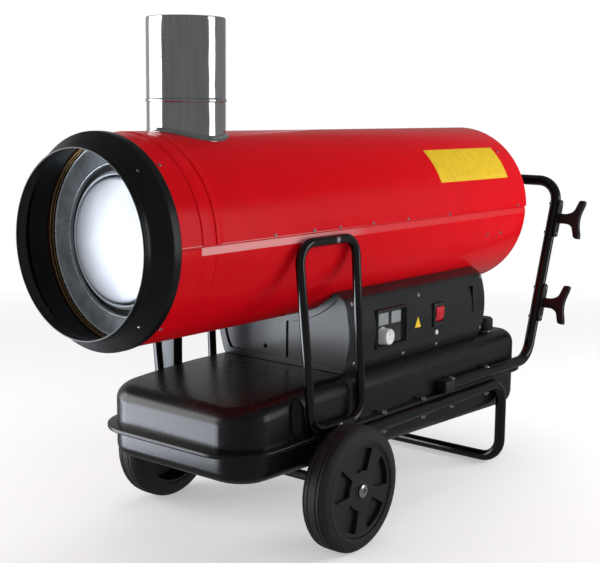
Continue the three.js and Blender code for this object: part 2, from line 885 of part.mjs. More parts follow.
function motorAndFan() {
  const motorRear = motorFront + motorLength;
  piece(
    "fuel_pump",
    rodAlong(0, barrelAxis, pumpRadius, pumpFront, motorFront - gap, midCircle),
    castAluminium,
  );
  piece(
    "fan_motor",
    turned(
      [
        [motorFront, 0],
        [motorFront, motorRadius - motorCap],
        [motorFront + motorCap, motorRadius],
        [motorRear - motorCap, motorRadius],
        [motorRear, motorRadius - motorCap],
        [motorRear, shaftRadius],
        [motorRear + shaftLength, shaftRadius],
        [motorRear + shaftLength, 0],
      ],
      midCircle,
    ),
    castAluminium,
  );
  const half = bracketHalfWidth;
  const footAngle = THREE.MathUtils.radToDeg(Math.acos(half / (shellBore - roundGap)));
  const legs = [
    ...arc(0, barrelAxis, shellBore - roundGap, 360 - footAngle, 180 + footAngle, bendSteps),
    ...arcAround(0, barrelAxis, motorRadius + gap, bracketFrom, bracketTo, bendSteps),
  ];
  const front = motorFront + bracketInset;
  const rear = motorRear - bracketInset;
  const bridge = [
    ...arc(0, barrelAxis, motorRadius + gap + bracketWall, bracketFrom, bracketTo, bendSteps),
    ...arcAround(0, barrelAxis, motorRadius + gap, bracketTo, bracketFrom, bendSteps),
  ];
  piece(
    "motor_bracket",
    join(
      drawnAlong(legs, front, front + bracketWall),
      drawnAlong(bridge, front, rear),
      drawnAlong(legs, rear - bracketWall, rear),
    ),
    zincSteel,
  );
  const fanMiddle = fanFront + fanHubLength / 2;
  const hub = turned(
    [
      [fanFront, shaftRadius + gap],
      [fanFront, fanHubRadius],
      [fanFront + fanHubLength, fanHubRadius],
      [fanFront + fanHubLength, shaftRadius + gap],
    ],
    midCircle,
  );
  const blades = Array.from({ length: fanBlades }, (_, i) => {
    const root = fanHubRadius - fanBladeRoot;
    const blade = new THREE.BoxGeometry(fanBladeChord, fanBladeThickness, fanRadius - root);
    blade.translate(0, 0, (fanRadius + root) / 2);
    blade.rotateZ(THREE.MathUtils.degToRad(fanBladePitch));
    blade.rotateY((i * 2 * Math.PI) / fanBlades);
    return solid(blade.translate(0, along(fanMiddle), barrelAxis));
  });
  piece("fan", join(hub, ...blades), castAluminium);
}

function rearGuard() {
  const rear = lowerShellRear;
  const front = rear - guardWire;
  const rings = Array.from({ length: guardRings }, (_, i) => {
    const outer = guardHub + ((seatRadius - guardHub) * i) / (guardRings - 1);
    const inner = outer - guardWire;
    return turned([[front, inner], [front, outer], [rear, outer], [rear, inner]], midCircle);
  });
  const spokes = Array.from({ length: guardSpokes }, (_, i) => {
    const spoke = new THREE.BoxGeometry(2 * (seatRadius - guardWire / 2), guardWire, guardWire);
    spoke.rotateY(((i + 0.5) * Math.PI) / guardSpokes);
    return solid(spoke.translate(0, along(front + guardWire / 2), barrelAxis));
  });
  piece("rear_guard", join(rings[0], ...spokes, ...rings.slice(1)), blackTube);
}

// ---------------------------------------------------------------- fuel tank
/** A rounded rectangle in plan, from the flange line drawn in by an inset. */
function tankPlan(inset, halfWidth) {
  const front = along(tankFront + inset);
  const rear = along(tankRear - inset);
  const nose = tankFrontCorner - inset;
  const tail = tankRearCorner - inset;
  const quarter = (x, y, corner, from) => arc(x, y, corner, from, from + 90, tankCornerSteps);
  return [
    ...quarter(halfWidth - tail, rear - tail, tail, 0),
    ...quarter(tail - halfWidth, rear - tail, tail, 90),
    ...quarter(nose - halfWidth, front + nose, nose, 180),
    ...quarter(halfWidth - nose, front + nose, nose, 270),
  ];
}

/** A plan drawn upwards with rounded ends, cut off flat at one height. */
function roundedBody(plan, bottom, top, round, keepAbove) {
  const geometry = new THREE.ExtrudeGeometry(outline(plan), {
    depth: top - bottom - 2 * round,
    bevelThickness: round,
    bevelSize: round,
    bevelOffset: -round,
    bevelSegments: tankRoundSteps,
  }).translate(0, 0, bottom + round);
  const reach = flangeHalfWidth * 2;
  const keep = keepAbove
    ? block([-reach, 0, (bottom + top) / 2], [reach, overallLength, top + round])
    : block([-reach, 0, bottom - round], [reach, overallLength, (bottom + top) / 2]);
  return solid(geometry).intersect(keep);
}

/** Lowers the tank's bottom towards the rear, while the flange line stays level. */
function withFall(made) {
  const middle = along((tankFront + tankRear) / 2);
  const slope = tankBottomFall / (tankRear - tankFront);
  return made.warp((vertex) => {
    const depth = Math.max(0, (flangeBottom - vertex[2]) / (flangeBottom - tankBottom));
    vertex[2] -= slope * (vertex[1] - middle) * Math.min(1, depth);
  });
}

/** Lowers the tank's top towards the front, ahead of the housing. */
function withNose(made) {
  const rear = along(tankNoseRear);
  const length = tankNoseRear - tankFront - bodyInset;
  return made.refineToLength(tankNoseStep).warp((vertex) => {
    const share = Math.min(1, Math.max(0, (rear - vertex[1]) / length));
    const height = Math.max(0, (vertex[2] - flangeTop) / (tankTop - flangeTop));
    vertex[2] -= tankNoseFall * share ** 1.5 * height;
  });
}

/** The upright grooves in both sides of the upper half, as cutters grown by a margin. */
function sideGrooves(margin) {
  const halfWidth = grooveHalfWidth + margin;
  const half = grooveStations.map((station) => {
    const steps = 2 * bendSteps;
    const points = [];
    for (let i = 0; i <= steps; i += 1) {
      const across = (2 * i) / steps - 1;
      const depth = (grooveDepth + margin) * (0.5 + 0.5 * Math.cos(Math.PI * across));
      points.push([bodyHalfWidth - depth, along(station + across * halfWidth)]);
    }
    points.push([flangeHalfWidth, along(station + halfWidth)], [flangeHalfWidth, along(station - halfWidth)]);
    return solid(prism(outline(points), tankTop - flangeTop + margin).translate(0, 0, flangeTop));
  });
  return half.flatMap((made) => [made, mirrored(made)]);
}

function tank() {
  const seam = (flangeTop + flangeBottom) / 2;
  const bodyPlan = tankPlan(bodyInset, bodyHalfWidth);
  const borePlan = tankPlan(bodyInset + tankWall, bodyHalfWidth - tankWall);
  const flangePlan = outline(tankPlan(0, flangeHalfWidth));
  const flange = (bottom, top) => solid(prism(flangePlan, top - bottom).translate(0, 0, bottom));

  const topBore = tankTop - tankWall;
  const boreRound = tankTopRound - tankWall;
  const body = withNose(roundedBody(bodyPlan, 2 * seam - tankTop, tankTop, tankTopRound, true));
  const bore = withNose(roundedBody(borePlan, 2 * seam - topBore, topBore, boreRound, true));
  const upperBody = cut(body, ...sideGrooves(0));
  const upperBore = cut(bore, ...sideGrooves(tankWall));
  const fillerHole = drill(fillerSide, fillerStation, fillerRadius + gap, seam, tankTop + fillerHeight);
  const seamUpper = seam + gap / 2;
  const lift = block([-flangeHalfWidth, 0, seam - gap], [flangeHalfWidth, overallLength, seamUpper]);
  piece(
    "tank_upper",
    cut(join(upperBody, flange(seam, flangeTop)), upperBore, fillerHole, lift),
    blackEnamel,
  );

  const lowerBody = roundedBody(bodyPlan, tankBottom, 2 * seam - tankBottom, tankBottomRound, false);
  const bottomBore = tankBottom + tankWall;
  const lowerRound = tankBottomRound - tankWall;
  const lowerBore = roundedBody(borePlan, bottomBore, 2 * seam - bottomBore, lowerRound, false);
  const seamLower = seam - gap / 2;
  const drop = block([-flangeHalfWidth, 0, seamLower], [flangeHalfWidth, overallLength, seam + gap]);
  piece(
    "tank_lower",
    cut(join(withFall(lowerBody), flange(flangeBottom, seam)), withFall(lowerBore), drop),
    blackEnamel,
  );
}

function filler() {
  const bore = fillerRadius - fillerWall;
  const neckTop = tankTop + gap + fillerHeight;
  piece(
    "filler_neck",
    upright(
      [
        [tankTop - strainerDepth, 0],
        [tankTop - strainerDepth, fillerRadius],
        [tankTop + gap, fillerRadius],
        [tankTop + gap, fillerRadius + fillerLip],
        [tankTop + gap + fillerWall, fillerRadius + fillerLip],
        [tankTop + gap + fillerWall, fillerRadius],
        [neckTop, fillerRadius],
        [neckTop, bore],
        [tankTop - strainerDepth + fillerWall, bore],
        [tankTop - strainerDepth + fillerWall, 0],
      ],
      fillerSide,
      fillerStation,
    ),
    zincSteel,
  );
  const capFoot = tankTop + 2 * gap + fillerWall;
  const ribs = [];
  for (let i = 0; i < capRibs; i += 1) {
    const step = 360 / capRibs;
    const middle = [fillerSide, along(fillerStation)];
    ribs.push(...arc(...middle, capRadius, i * step, (i + 0.5) * step, 1));
    ribs.push(...arc(...middle, capRadius - capRibDepth, (i + 0.55) * step, (i + 0.95) * step, 1));
  }
  const body = solid(prism(outline(ribs), capHeight).translate(0, 0, capFoot));
  const capBoreTop = capFoot + capHeight - capTop;
  const capBore = drill(fillerSide, fillerStation, fillerRadius + gap, capFoot - gap, capBoreTop);
  piece("fuel_cap", cut(body, capBore), blackPlastic);
}

// ---------------------------------------------------------------- burner housing
/** The near side panel's outer face, from the tank up to the lip that meets the barrel. */
function panelLine() {
  const side = new THREE.QuadraticBezierCurve(
    new THREE.Vector2(housingFoot, housingFloor),
    new THREE.Vector2(housingBulge, (housingFloor + housingShoulderHeight) / 2),
    new THREE.Vector2(housingShoulder, housingShoulderHeight),
  );
  const reach = barrelRadius + 2 * gap;
  const lipHeight = barrelAxis - Math.sqrt(reach ** 2 - housingLip ** 2);
  return [...side.getPoints(panelSteps).map((point) => [point.x, point.y]), [housingLip, lipHeight]];
}

/** The section inside both side panels, under the barrel, drawn in by a margin. */
function housingSection(margin, floor) {
  const side = sheetOutline(panelLine(), panelWall + margin).slice(panelSteps + 2).reverse();
  const inner = side.slice(0, -1).map(([x, z]) => [x, Math.max(z, floor)]);
  const reach = barrelRadius + Math.max(margin, gap);
  const shoulder = inner[inner.length - 1];
  const top = Math.min(shoulder[0], housingLip) - margin - 2 * panelWall;
  const angle = THREE.MathUtils.radToDeg(Math.acos(top / reach));
  const cradle = arcAround(0, barrelAxis, reach, 360 - angle, 180 + angle, bigCircle / 4);
  return [...inner, ...cradle, ...inner.map(([x, z]) => [-x, z]).reverse()];
}

function housing() {
  const section = housingSection(gap, housingFloor);
  const plate = drawnAlong(section, housingFront, housingFront + endPlateWall);
  const recess = drawnAlong(
    housingSection(recessMargin, housingFloor + recessMargin),
    housingFront - recessDepth,
    housingFront + recessDepth,
  );
  const rib = block(
    [-recessRib, housingFront - endPlateWall, 0],
    [recessRib, housingFront + endPlateWall, barrelAxis],
  );
  piece("housing_front_plate", cut(plate, cut(recess, rib)), greyBlackPaint);

  const holeFront = housingRear - 2 * endPlateWall;
  const holeRear = housingRear + endPlateWall;
  const inletHole = rodAlong(inletSide, inletHeight, inletRadius + gap, holeFront, holeRear, midCircle);
  const cover = drawnAlong(section, housingRear - endPlateWall, housingRear);
  piece("housing_rear_cover", cut(cover, inletHole), greyBlackPaint);

  const panel = drawnAlong(sheetOutline(panelLine(), panelWall), housingFront, housingRear);
  const bezelHole = block(
    [0, bezelFront - gap, bezelBottom - gap],
    [2 * housingBulge, bezelRear + gap, bezelTop + gap],
  );
  const frameHole = block(
    [0, frameFront - gap, frameBottom - gap],
    [2 * housingBulge, frameRear + gap, frameTop + gap],
  );
  const resetHole = crosswise(
    [[0, 0], [0, resetRadius + gap], [2 * housingBulge, resetRadius + gap], [2 * housingBulge, 0]],
    resetStation,
    resetHeight,
  );
  piece("side_panel_near", cut(panel, bezelHole, frameHole, resetHole), greyBlackPaint);
  piece("side_panel_far", mirrored(panel), greyBlackPaint);
}

function controls() {
  const bezelBack = bezelFace - bezelDepth;
  const floor = bezelFace - bezelRecess;
  const tray = block([bezelBack, bezelFront, bezelBottom], [bezelFace, bezelRear, bezelTop]);
  const recess = block(
    [floor, bezelFront + bezelRim, bezelBottom + bezelRim],
    [bezelFace + bezelRim, bezelRear - bezelRim, bezelTop - bezelRim],
  );
  const spindleHole = crosswise(
    [[0, 0], [0, spindleRadius + gap], [bezelFace, spindleRadius + gap], [bezelFace, 0]],
    knobStation,
    knobHeight,
    smallCircle,
  );
  piece("control_bezel", cut(tray, recess, spindleHole), blackPlastic);

  const knobBody = crosswise(
    [
      [knobBase - spindleLength, 0],
      [knobBase - spindleLength, spindleRadius],
      [knobBase, spindleRadius],
      [knobBase, knobRadius],
      [knobBase + knobSkirt, knobRadius],
      [knobBase + knobSkirt, 0],
    ],
    knobStation,
    knobHeight,
  );
  const grip = crosswise(
    [
      [knobBase, 0],
      [knobBase, knobRadius - knobTaper / 2],
      [knobBase + knobLength, knobRadius - knobTaper],
      [knobBase + knobLength, 0],
    ],
    knobStation,
    knobHeight,
  ).intersect(
    block(
      [knobBase, knobStation - knobGrip, knobHeight - knobRadius],
      [knobBase + knobLength, knobStation + knobGrip, knobHeight + knobRadius],
    ),
  );
  piece("thermostat_knob", join(knobBody, grip), whitePlastic);

  const frameBlock = block(
    [frameFace - frameDepth, frameFront, frameBottom],
    [frameFace, frameRear, frameTop],
  );
  const acrossPocket = rockerHalfWidth + gap;
  const upPocket = rockerHalfHeight + rockerSwing;
  const pocket = block(
    [frameFace - framePocket, rockerStation - acrossPocket, rockerHeight - upPocket],
    [frameFace + frameDepth, rockerStation + acrossPocket, rockerHeight + upPocket],
  );
  piece("rocker_frame", cut(frameBlock, pocket), blackPlastic);
  const rest = new THREE.Vector2();
  const tilt = THREE.MathUtils.degToRad(rockerTilt);
  const section = [
    [-rockerBack, 0],
    [-rockerBack / 3, -rockerHalfHeight],
    [rockerCrown / 2, -rockerHalfHeight],
    [rockerShoulder, -rockerHalfHeight / 2],
    [rockerCrown, 0],
    [rockerShoulder, rockerHalfHeight / 2],
    [rockerCrown / 2, rockerHalfHeight],
    [-rockerBack / 3, rockerHalfHeight],
  ].map(([x, z]) => {
    const point = new THREE.Vector2(x, z).rotateAround(rest, -tilt);
    return [rockerFace + point.x, rockerHeight + point.y];
  });
  piece(
    "rocker_switch",
    drawnAlong(section, rockerStation - rockerHalfWidth, rockerStation + rockerHalfWidth),
    redPlastic,
  );
  piece(
    "reset_button",
    crosswise(
      [
        [resetFace - resetLength, 0],
        [resetFace - resetLength, resetRadius],
        [resetFace, resetRadius],
        [resetFace, 0],
      ],
      resetStation,
      resetHeight,
    ),
    whitePlastic,
  );
  const inletFace = housingRear + gap;
  const inletFront = housingRear - 2 * endPlateWall;
  const gland = latheY(
    [
      [inletFront, inletBore],
      [inletFront, inletRadius],
      [inletFace, inletRadius],
      [inletFace, inletFlange],
      [inletFace + inletLength / 4, inletFlange],
      [inletFace + inletLength / 4, inletRadius + inletBore / 2],
      [inletFace + inletLength, inletRadius],
      [inletFace + inletLength, inletBore],
    ],
    midCircle,
  );
  piece("power_inlet", solid(gland.translate(inletSide, along(0), inletHeight)), blackPlastic);
}

/** A block that stands on the housing floor, from its size and the middle of its footprint. */
function standing(size, place) {
  return block(
    [place[0] - size[0] / 2, place[1] - size[1] / 2, housingFloor],
    [place[0] + size[0] / 2, place[1] + size[1] / 2, housingFloor + size[2]],
  );
}

function housingContents() {
  piece("ignition_transformer", standing(transformerSize, transformerPlace), blackPlastic);
  piece("control_board", standing(boardSize, boardPlace), boardGreen);
  const filterTop = housingFloor + filterHeight;
  piece(
    "fuel_filter",
    drill(fuelLineSide, fuelLineStation, filterRadius, housingFloor, filterTop),
    zincSteel,
  );
  const lineSide = fuelLineSide - fuelLineOffset;
  const pumpUnderside = barrelAxis - Math.sqrt((pumpRadius + gap) ** 2 - (lineSide - fuelLineRadius) ** 2);
  piece(
    "fuel_line",
    bentTube(
      [
        [fuelLineSide, fuelLineStation, filterTop + gap],
        [fuelLineSide, fuelLineStation, fuelLineStep],
        [lineSide, fuelLineStation, fuelLineStep + fuelLineOffset],
        [lineSide, fuelLineStation, pumpUnderside],
      ],
      fuelLineRadius,
      fuelLineBend,
    ),
    brass,
  );
}

// ---------------------------------------------------------------- trolley
function wheels() {
  const rimFace = wheelOuter - rimEdge;
  const webBack = rimFace - rimWeb;
  const bore = axleRadius + gap;
  const tyreBore = rimDiscRadius + gap;
  const wallTop = wheelRadius - tyreShoulder;
  const rim = crosswise(
    [
      [wheelInner, bore],
      [wheelInner, hubRadius],
      [webBack, hubRadius + rimEdge],
      [webBack, rimInnerRadius],
      [wheelInner + rimEdge, rimInnerRadius],
      [wheelInner + rimEdge, rimDiscRadius],
      [rimFace, rimDiscRadius],
      [rimFace, bore],
    ],
    axleStation,
    wheelRadius,
    innerCircle,
  );
  const pockets = Array.from({ length: wheelPockets }, (_, i) => {
    const from = pocketTurn + (360 * i) / wheelPockets - pocketSweep / 2;
    const to = from + pocketSweep;
    const pocket = [
      ...arc(axleStation, wheelRadius, pocketOuter, from, to, bendSteps),
      ...arc(axleStation, wheelRadius, pocketInner, to, from, bendSteps),
    ];
    return drawnAcross(pocket, rimFace - pocketDepth, wheelOuter);
  });
  const tyre = crosswise(
    [
      [wheelInner + 1, tyreBore],
      [wheelInner + 1, wallTop],
      [wheelInner + treadEdge, wheelRadius - treadCrown],
      [wheelInner + treadFlat, wheelRadius],
      [wheelOuter - treadFlat, wheelRadius],
      [wheelOuter - treadEdge, wheelRadius - treadCrown],
      [wheelOuter - 1, wallTop],
      [wheelOuter - 1, tyreBore],
    ],
    axleStation,
    wheelRadius,
    innerCircle,
  );
  const wheelRim = cut(rim, ...pockets);
  const capFace = rimFace + gap;
  const axleCap = crosswise(
    [
      [capFace, 0],
      [capFace, capDiscRadius],
      [capFace + capDiscThickness / 2, capDiscRadius],
      [capFace + capDiscThickness, capDiscRadius / 2],
      [capFace + capDiscThickness, 0],
    ],
    axleStation,
    wheelRadius,
  );
  piece("tyre_near", tyre, tyreRubber);
  piece("tyre_far", mirrored(tyre), tyreRubber);
  piece("wheel_rim_near", wheelRim, blackPlastic);
  piece("wheel_rim_far", mirrored(wheelRim), blackPlastic);
  piece("axle_cap_near", axleCap, stainless);
  piece("axle_cap_far", mirrored(axleCap), stainless);
  const plateOuter = tubeSide + axlePlateWall / 2 + gap;
  const collar = wheelInner - gap;
  const end = capFace - gap;
  piece(
    "axle",
    crosswise(
      [
        [-end, 0],
        [-end, axleRadius],
        [-collar, axleRadius],
        [-collar, collarRadius],
        [-plateOuter, collarRadius],
        [-plateOuter, axleRadius],
        [plateOuter, axleRadius],
        [plateOuter, collarRadius],
        [collar, collarRadius],
        [collar, axleRadius],
        [end, axleRadius],
        [end, 0],
      ],
      axleStation,
      wheelRadius,
    ),
    zincSteel,
  );
}

function baseFrame() {
  const footHeight = railRadius - footFlat;
  const tube = bentTube(
    [
      [tubeSide, railFront, railHeight],
      [tubeSide, footStation, railHeight],
      [tubeSide, footStation, footHeight],
      [-tubeSide, footStation, footHeight],
      [-tubeSide, footStation, railHeight],
      [-tubeSide, railFront, railHeight],
    ],
    railRadius,
    footBend,
  );
  const reach = 2 * tubeSide;
  const aboveGround = block([-reach, 0, 0], [reach, overallLength, flangeTop]);
  const bore = crosswise(
    [[-reach, 0], [-reach, axleRadius + gap], [reach, axleRadius + gap], [reach, 0]],
    axleStation,
    wheelRadius,
  );
  const plate = drawnAcross(
    [
      [axleStation - axlePlateHalfLength, railHeight],
      [axleStation - axlePlateDrop, wheelRadius - axlePlateDrop],
      [axleStation + axlePlateDrop, wheelRadius - axlePlateDrop],
      [axleStation + axlePlateHalfLength, railHeight],
    ],
    tubeSide - axlePlateWall / 2,
    tubeSide + axlePlateWall / 2,
  );
  piece("base_frame", join(tube, plate, mirrored(plate)).intersect(aboveGround).subtract(bore), blackTube);
}

function handle() {
  piece(
    "push_handle",
    bentTube(
      [
        [tubeSide, handleFront, handleArmHeight],
        [tubeSide, handleCorner, handleArmHeight],
        [tubeSide, handleBarStation, handleTop],
        [-tubeSide, handleBarStation, handleTop],
        [-tubeSide, handleCorner, handleArmHeight],
        [-tubeSide, handleFront, handleArmHeight],
      ],
      handleRadius,
      handleBend,
    ),
    blackTube,
  );
  const capRear = handleFront - gap;
  const cap = rodAlong(tubeSide, handleArmHeight, endCapRadius, capRear - endCapLength, capRear);
  const lowered = cut(cap, block([0, 0, 0], [2 * tubeSide, overallLength, flangeSeat]));
  piece("handle_end_cap_near", lowered, blackPlastic);
  piece("handle_end_cap_far", mirrored(lowered), blackPlastic);
}

function hoops() {
  const footHeight = flangeSeat + hoopRadius;
  const topSide = barrelRadius + gap + hoopRadius;
  const hoop = closedTube(
    [
      [tubeSide, hoopFootStations[0], footHeight],
      [tubeSide, hoopFootStations[1], footHeight],
      [topSide, hoopTopStations[1], hoopTop],
      [topSide, hoopTopStations[0], hoopTop],
    ],
    hoopRadius,
    hoopBend,
  );
  piece("guard_hoop_near", hoop, blackTube);
  piece("guard_hoop_far", mirrored(hoop), blackTube);
}

/** The folded upright that stands between the far hoop's two bars. */
function hoopStay() {
  const inner = bodyHalfWidth + stayGap;
  const foot = flangeSeat + 2 * hoopRadius + 3 * roundGap;
  const top = hoopTop - hoopRadius - gap;
  const outer = block([-inner - stayDepth, stayFront, foot], [-inner, stayRear, top]);
  const hollow = block(
    [-inner - stayDepth - stayWall, stayFront + stayWall, foot + stayWall],
    [-inner - stayWall, stayRear - stayWall, top - stayWall],
  );
  piece("hoop_stay_far", cut(outer, hollow), greyBlackPaint);
}

function cordHooks() {
  /** A rectangle that leans with the handle's leg, as [station, z] pairs about a height. */
  const leaning = (height, [across, length]) => {
    const station = handleCorner + (height - handleArmHeight) * Math.tan(lean);
    return [[-1, -1], [1, -1], [1, 1], [-1, 1]].map(([u, w]) => {
      const a = (u * across) / 2;
      const b = (w * length) / 2;
      return [
        station + a * Math.cos(lean) + b * Math.sin(lean),
        height - a * Math.sin(lean) + b * Math.cos(lean),
      ];
    });
  };
  const side = tubeSide + handleRadius + gap;
  const face = tubeSide + handleRadius + hookReach;
  const half = hookStem / 2;
  const throat = face - hookWaist - hookArm;
  const arm = [
    [throat - hookStem / 2, half],
    [throat - 1, 2 * half - 2],
    [face - hookArm - 2, hookTip - hookArm / 2],
    [face - hookArm + 1, hookTip],
    [face - 2, hookTip],
    [face, hookTip - hookArm / 2],
    [face - hookWaist, half],
  ];
  const horn = [
    [side + hookPlateWall / 2, half],
    ...arm,
    ...arm.map(([x, w]) => [x, -w]).reverse(),
    [side + hookPlateWall / 2, -half],
  ];
  hookHeights.forEach((height, i) => {
    const station = handleCorner + (height - handleArmHeight) * Math.tan(lean);
    const body = prism(outline(horn), hookWidth).translate(0, 0, -hookWidth / 2);
    body.rotateX(Math.PI / 2 - lean).translate(0, along(station), height);
    const plate = drawnAcross(leaning(height, hookPlate), side, side + hookPlateWall);
    piece(i === 0 ? "cord_hook_lower" : "cord_hook_upper", join(plate, solid(body)), blackPlastic);
  });
}

shells();
outletRing();
innerDrum();
flue();
burner();
motorAndFan();
rearGuard();
tank();
filler();
housing();
controls();
housingContents();
wheels();
baseFrame();
handle();
hoops();
hoopStay();
cordHooks();

export default heater;
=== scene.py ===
# Indirect diesel forced air heater: the visual model, built round the fixed frame.
# Metres, +Z up, ground at z = 0. The outlet faces -Y, the push handle is at +Y and the controls
# are on the +X side. A station is a distance behind the outlet rim, along the barrel. A profile
# is a list of (distance along its axis, radius), where a third value rounds that corner.
import json
import math

import bmesh
import bpy
from mathutils import Matrix, Vector


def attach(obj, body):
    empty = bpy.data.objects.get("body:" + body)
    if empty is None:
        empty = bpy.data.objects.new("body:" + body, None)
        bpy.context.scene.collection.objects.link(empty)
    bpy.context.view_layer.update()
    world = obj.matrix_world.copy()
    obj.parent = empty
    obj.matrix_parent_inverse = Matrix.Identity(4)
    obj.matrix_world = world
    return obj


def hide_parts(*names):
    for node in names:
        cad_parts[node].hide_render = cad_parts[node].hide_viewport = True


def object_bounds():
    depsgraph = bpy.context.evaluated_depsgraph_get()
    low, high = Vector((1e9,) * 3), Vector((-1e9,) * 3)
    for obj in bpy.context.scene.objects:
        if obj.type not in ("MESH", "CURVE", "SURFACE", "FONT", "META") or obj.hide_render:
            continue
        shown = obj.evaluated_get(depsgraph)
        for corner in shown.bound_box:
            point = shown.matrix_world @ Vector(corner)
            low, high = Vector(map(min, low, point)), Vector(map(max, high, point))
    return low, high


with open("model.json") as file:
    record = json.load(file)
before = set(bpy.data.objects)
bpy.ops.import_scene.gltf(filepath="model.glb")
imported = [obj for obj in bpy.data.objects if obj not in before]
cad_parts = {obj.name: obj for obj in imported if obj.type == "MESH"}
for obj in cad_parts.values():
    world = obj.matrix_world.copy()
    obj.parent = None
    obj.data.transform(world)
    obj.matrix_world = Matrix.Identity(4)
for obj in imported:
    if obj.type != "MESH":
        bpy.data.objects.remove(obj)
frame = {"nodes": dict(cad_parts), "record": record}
CAD_LOW, CAD_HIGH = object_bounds()

bl_info = {
    "name": "Forced air heater",
    "version": (1, 0, 0),
    "blender": (4, 5, 0),
    "location": "View3D > Sidebar > Heater",
    "description": "Builds the visual model of an indirect diesel forced air heater",
    "category": "Object",
}

X, Y, Z = Vector((1, 0, 0)), Vector((0, 1, 0)), Vector((0, 0, 1))
FULL_TURN = 2 * math.pi
SIDES = ((1, "near"), (-1, "far"))


# ---------------------------------------------------------------- sizes and colours
def length(name, text, millimetres):
    """A size, written in millimetres and kept in metres."""
    kind = {"default": millimetres / 1000, "subtype": "DISTANCE", "unit": "LENGTH"}
    return bpy.props.FloatProperty(name=name, description=text, **kind)


def angle(name, text, degrees):
    kind = {"default": math.radians(degrees), "subtype": "ANGLE", "unit": "ROTATION"}
    return bpy.props.FloatProperty(name=name, description=text, **kind)


def to_linear(code):
    """A hex code, as a screen shows it, in the linear values that shaders use."""
    values = [int(code[i : i + 2], 16) / 255 for i in (1, 3, 5)]
    return tuple(v / 12.92 if v <= 0.04045 else ((v + 0.055) / 1.055) ** 2.4 for v in values)


def colour(name, text, code):
    kind = {"default": to_linear(code), "subtype": "COLOR", "min": 0, "max": 1}
    return bpy.props.FloatVectorProperty(name=name, description=text, **kind)


class HeaterBarrelSizes(bpy.types.PropertyGroup):
    radius: length("Radius", "Outer radius of the barrel's shells", 195)
    axis_height: length("Axis height", "Height of the barrel's centre line", 630)
    wall: length("Wall", "Thickness of the shells", 2)
    front: length("Front", "Station of the shells' front edge, inside the ring", 48)
    band_front: length("Band front", "Where the raised band begins", 113)
    joint_front: length("Front joint", "Station of the joint in the raised band", 148)
    joint_lower: length("Lower joint", "Station of the lower shells' joint", 149)
    band_rear: length("Band rear", "Where the raised band ends", 162)
    band_rise: length("Band rise", "Height of the raised band", 1.8)
    joint_rear: length("Rear joint", "Station of the upper shell's rear joint", 848)
    upper_rear: length("Upper rear", "Rear edge of the upper shell", 1275)
    lower_rear: length("Lower rear", "Rear edge of the lower shell", 1268)
    seam_rise: length("Seam rise", "Height of the side seam above the axis", 4)
    joggle: length("Joggle", "Height over which the lower shell steps in", 12)
    rim_radius: length("Rim radius", "Radius of the outlet's rolled rim", 172.5)


class HeaterFlueSizes(bpy.types.PropertyGroup):
    station: length("Station", "Station of the flue's axis", 272)
    radius: length("Radius", "Outer radius of the flue pipe", 75)
    joint: length("Joint", "Height at which the pipe meets its spigot", 880)
    top: length("Top", "Height of the pipe's top edge", 1037)


class HeaterTankSizes(bpy.types.PropertyGroup):
    front: length("Front", "Station of the flange's front edge", 194)
    rear: length("Rear", "Station of the flange's rear edge", 1288)
    flange_half: length("Flange half width", "Half the width over the flange", 212)
    flange_top: length("Flange top", "Height of the flange's top face", 233)
    flange_bottom: length("Flange bottom", "Height of the flange's underside", 223)
    front_corner: length("Front corner", "Radius of the flange's front corners in plan", 100)
    rear_corner: length("Rear corner", "Radius of the flange's rear corners in plan", 74)
    inset: length("Inset", "From the flange's edge to the body, at the front and rear", 25)
    body_half: length("Body half width", "Half the width of the tank's body", 195)
    top: length("Top", "Height of the tank's top", 325)
    top_round: length("Top rounding", "Rounding along the top's edge", 34)
    nose_rear: length("Nose rear", "Station where the top starts to fall to the front", 480)
    nose_fall: length("Nose fall", "How far the top falls to its front edge", 16)
    bottom: length("Bottom", "Height of the tank's bottom, halfway along", 148)
    bottom_round: length("Bottom rounding", "Rounding along the bottom's edge", 32)
    fall: length("Fall", "How far the bottom falls from front to rear", 34)
    filler_side: length("Filler side", "Filler neck's distance from the middle plane", 140)
    filler_station: length("Filler station", "Station of the filler neck", 1175)


class HeaterTrolleySizes(bpy.types.PropertyGroup):
    side: length("Side", "Distance of the tubes from the middle plane", 210)
    tube_radius: length("Tube radius", "Radius of the rails and the handle", 13)
    rail_front: length("Rail front", "Station of the rails' front ends", 428)
    foot_station: length("Foot station", "Station of the rear stand", 1151)
    handle_front: length("Handle front", "Station of the handle arms' front ends", 881)
    handle_corner: length("Handle corner", "Where the arm and the leaning leg would meet", 1275)
    handle_top: length("Handle top", "Height of the handle's bar", 690)
    lean: angle("Lean", "Lean of the handle's legs from upright", 17.8)
    hoop_radius: length("Hoop radius", "Radius of the guard hoops' tube", 9.5)


class HeaterColours(bpy.types.PropertyGroup):
    red: colour("Red enamel", "Colour of the barrel's shells", "#d90a18")
    black: colour("Black enamel", "Colour of the tank and the ring", "#101113")
    tube: colour("Black tube", "Colour of the painted tubes", "#0b0b0c")
    housing: colour("Housing paint", "Colour of the burner housing", "#1c1f21")
    steel: colour("Stainless", "Colour of the polished flue", "#c9cbcc")
    drum: colour("Aluminised steel", "Colour of the drum's front", "#b4bfc7")
    liner: colour("Heated steel", "Colour of the liner behind the ring", "#5e4730")
    rubber: colour("Rubber", "Colour of the tyres", "#1b1b1c")
    moulding: colour("Black plastic", "Colour of black mouldings", "#17181a")
    white: colour("White plastic", "Colour of the knob and the button", "#e4e6e6")
    switch: colour("Red plastic", "Colour of the rocker switch", "#bb1c28")
    label: colour("Yellow vinyl", "Colour of the blank yellow plate", "#ecc41c")
    zinc: colour("Zinc", "Colour of screws and bolts", "#b4b8ba")


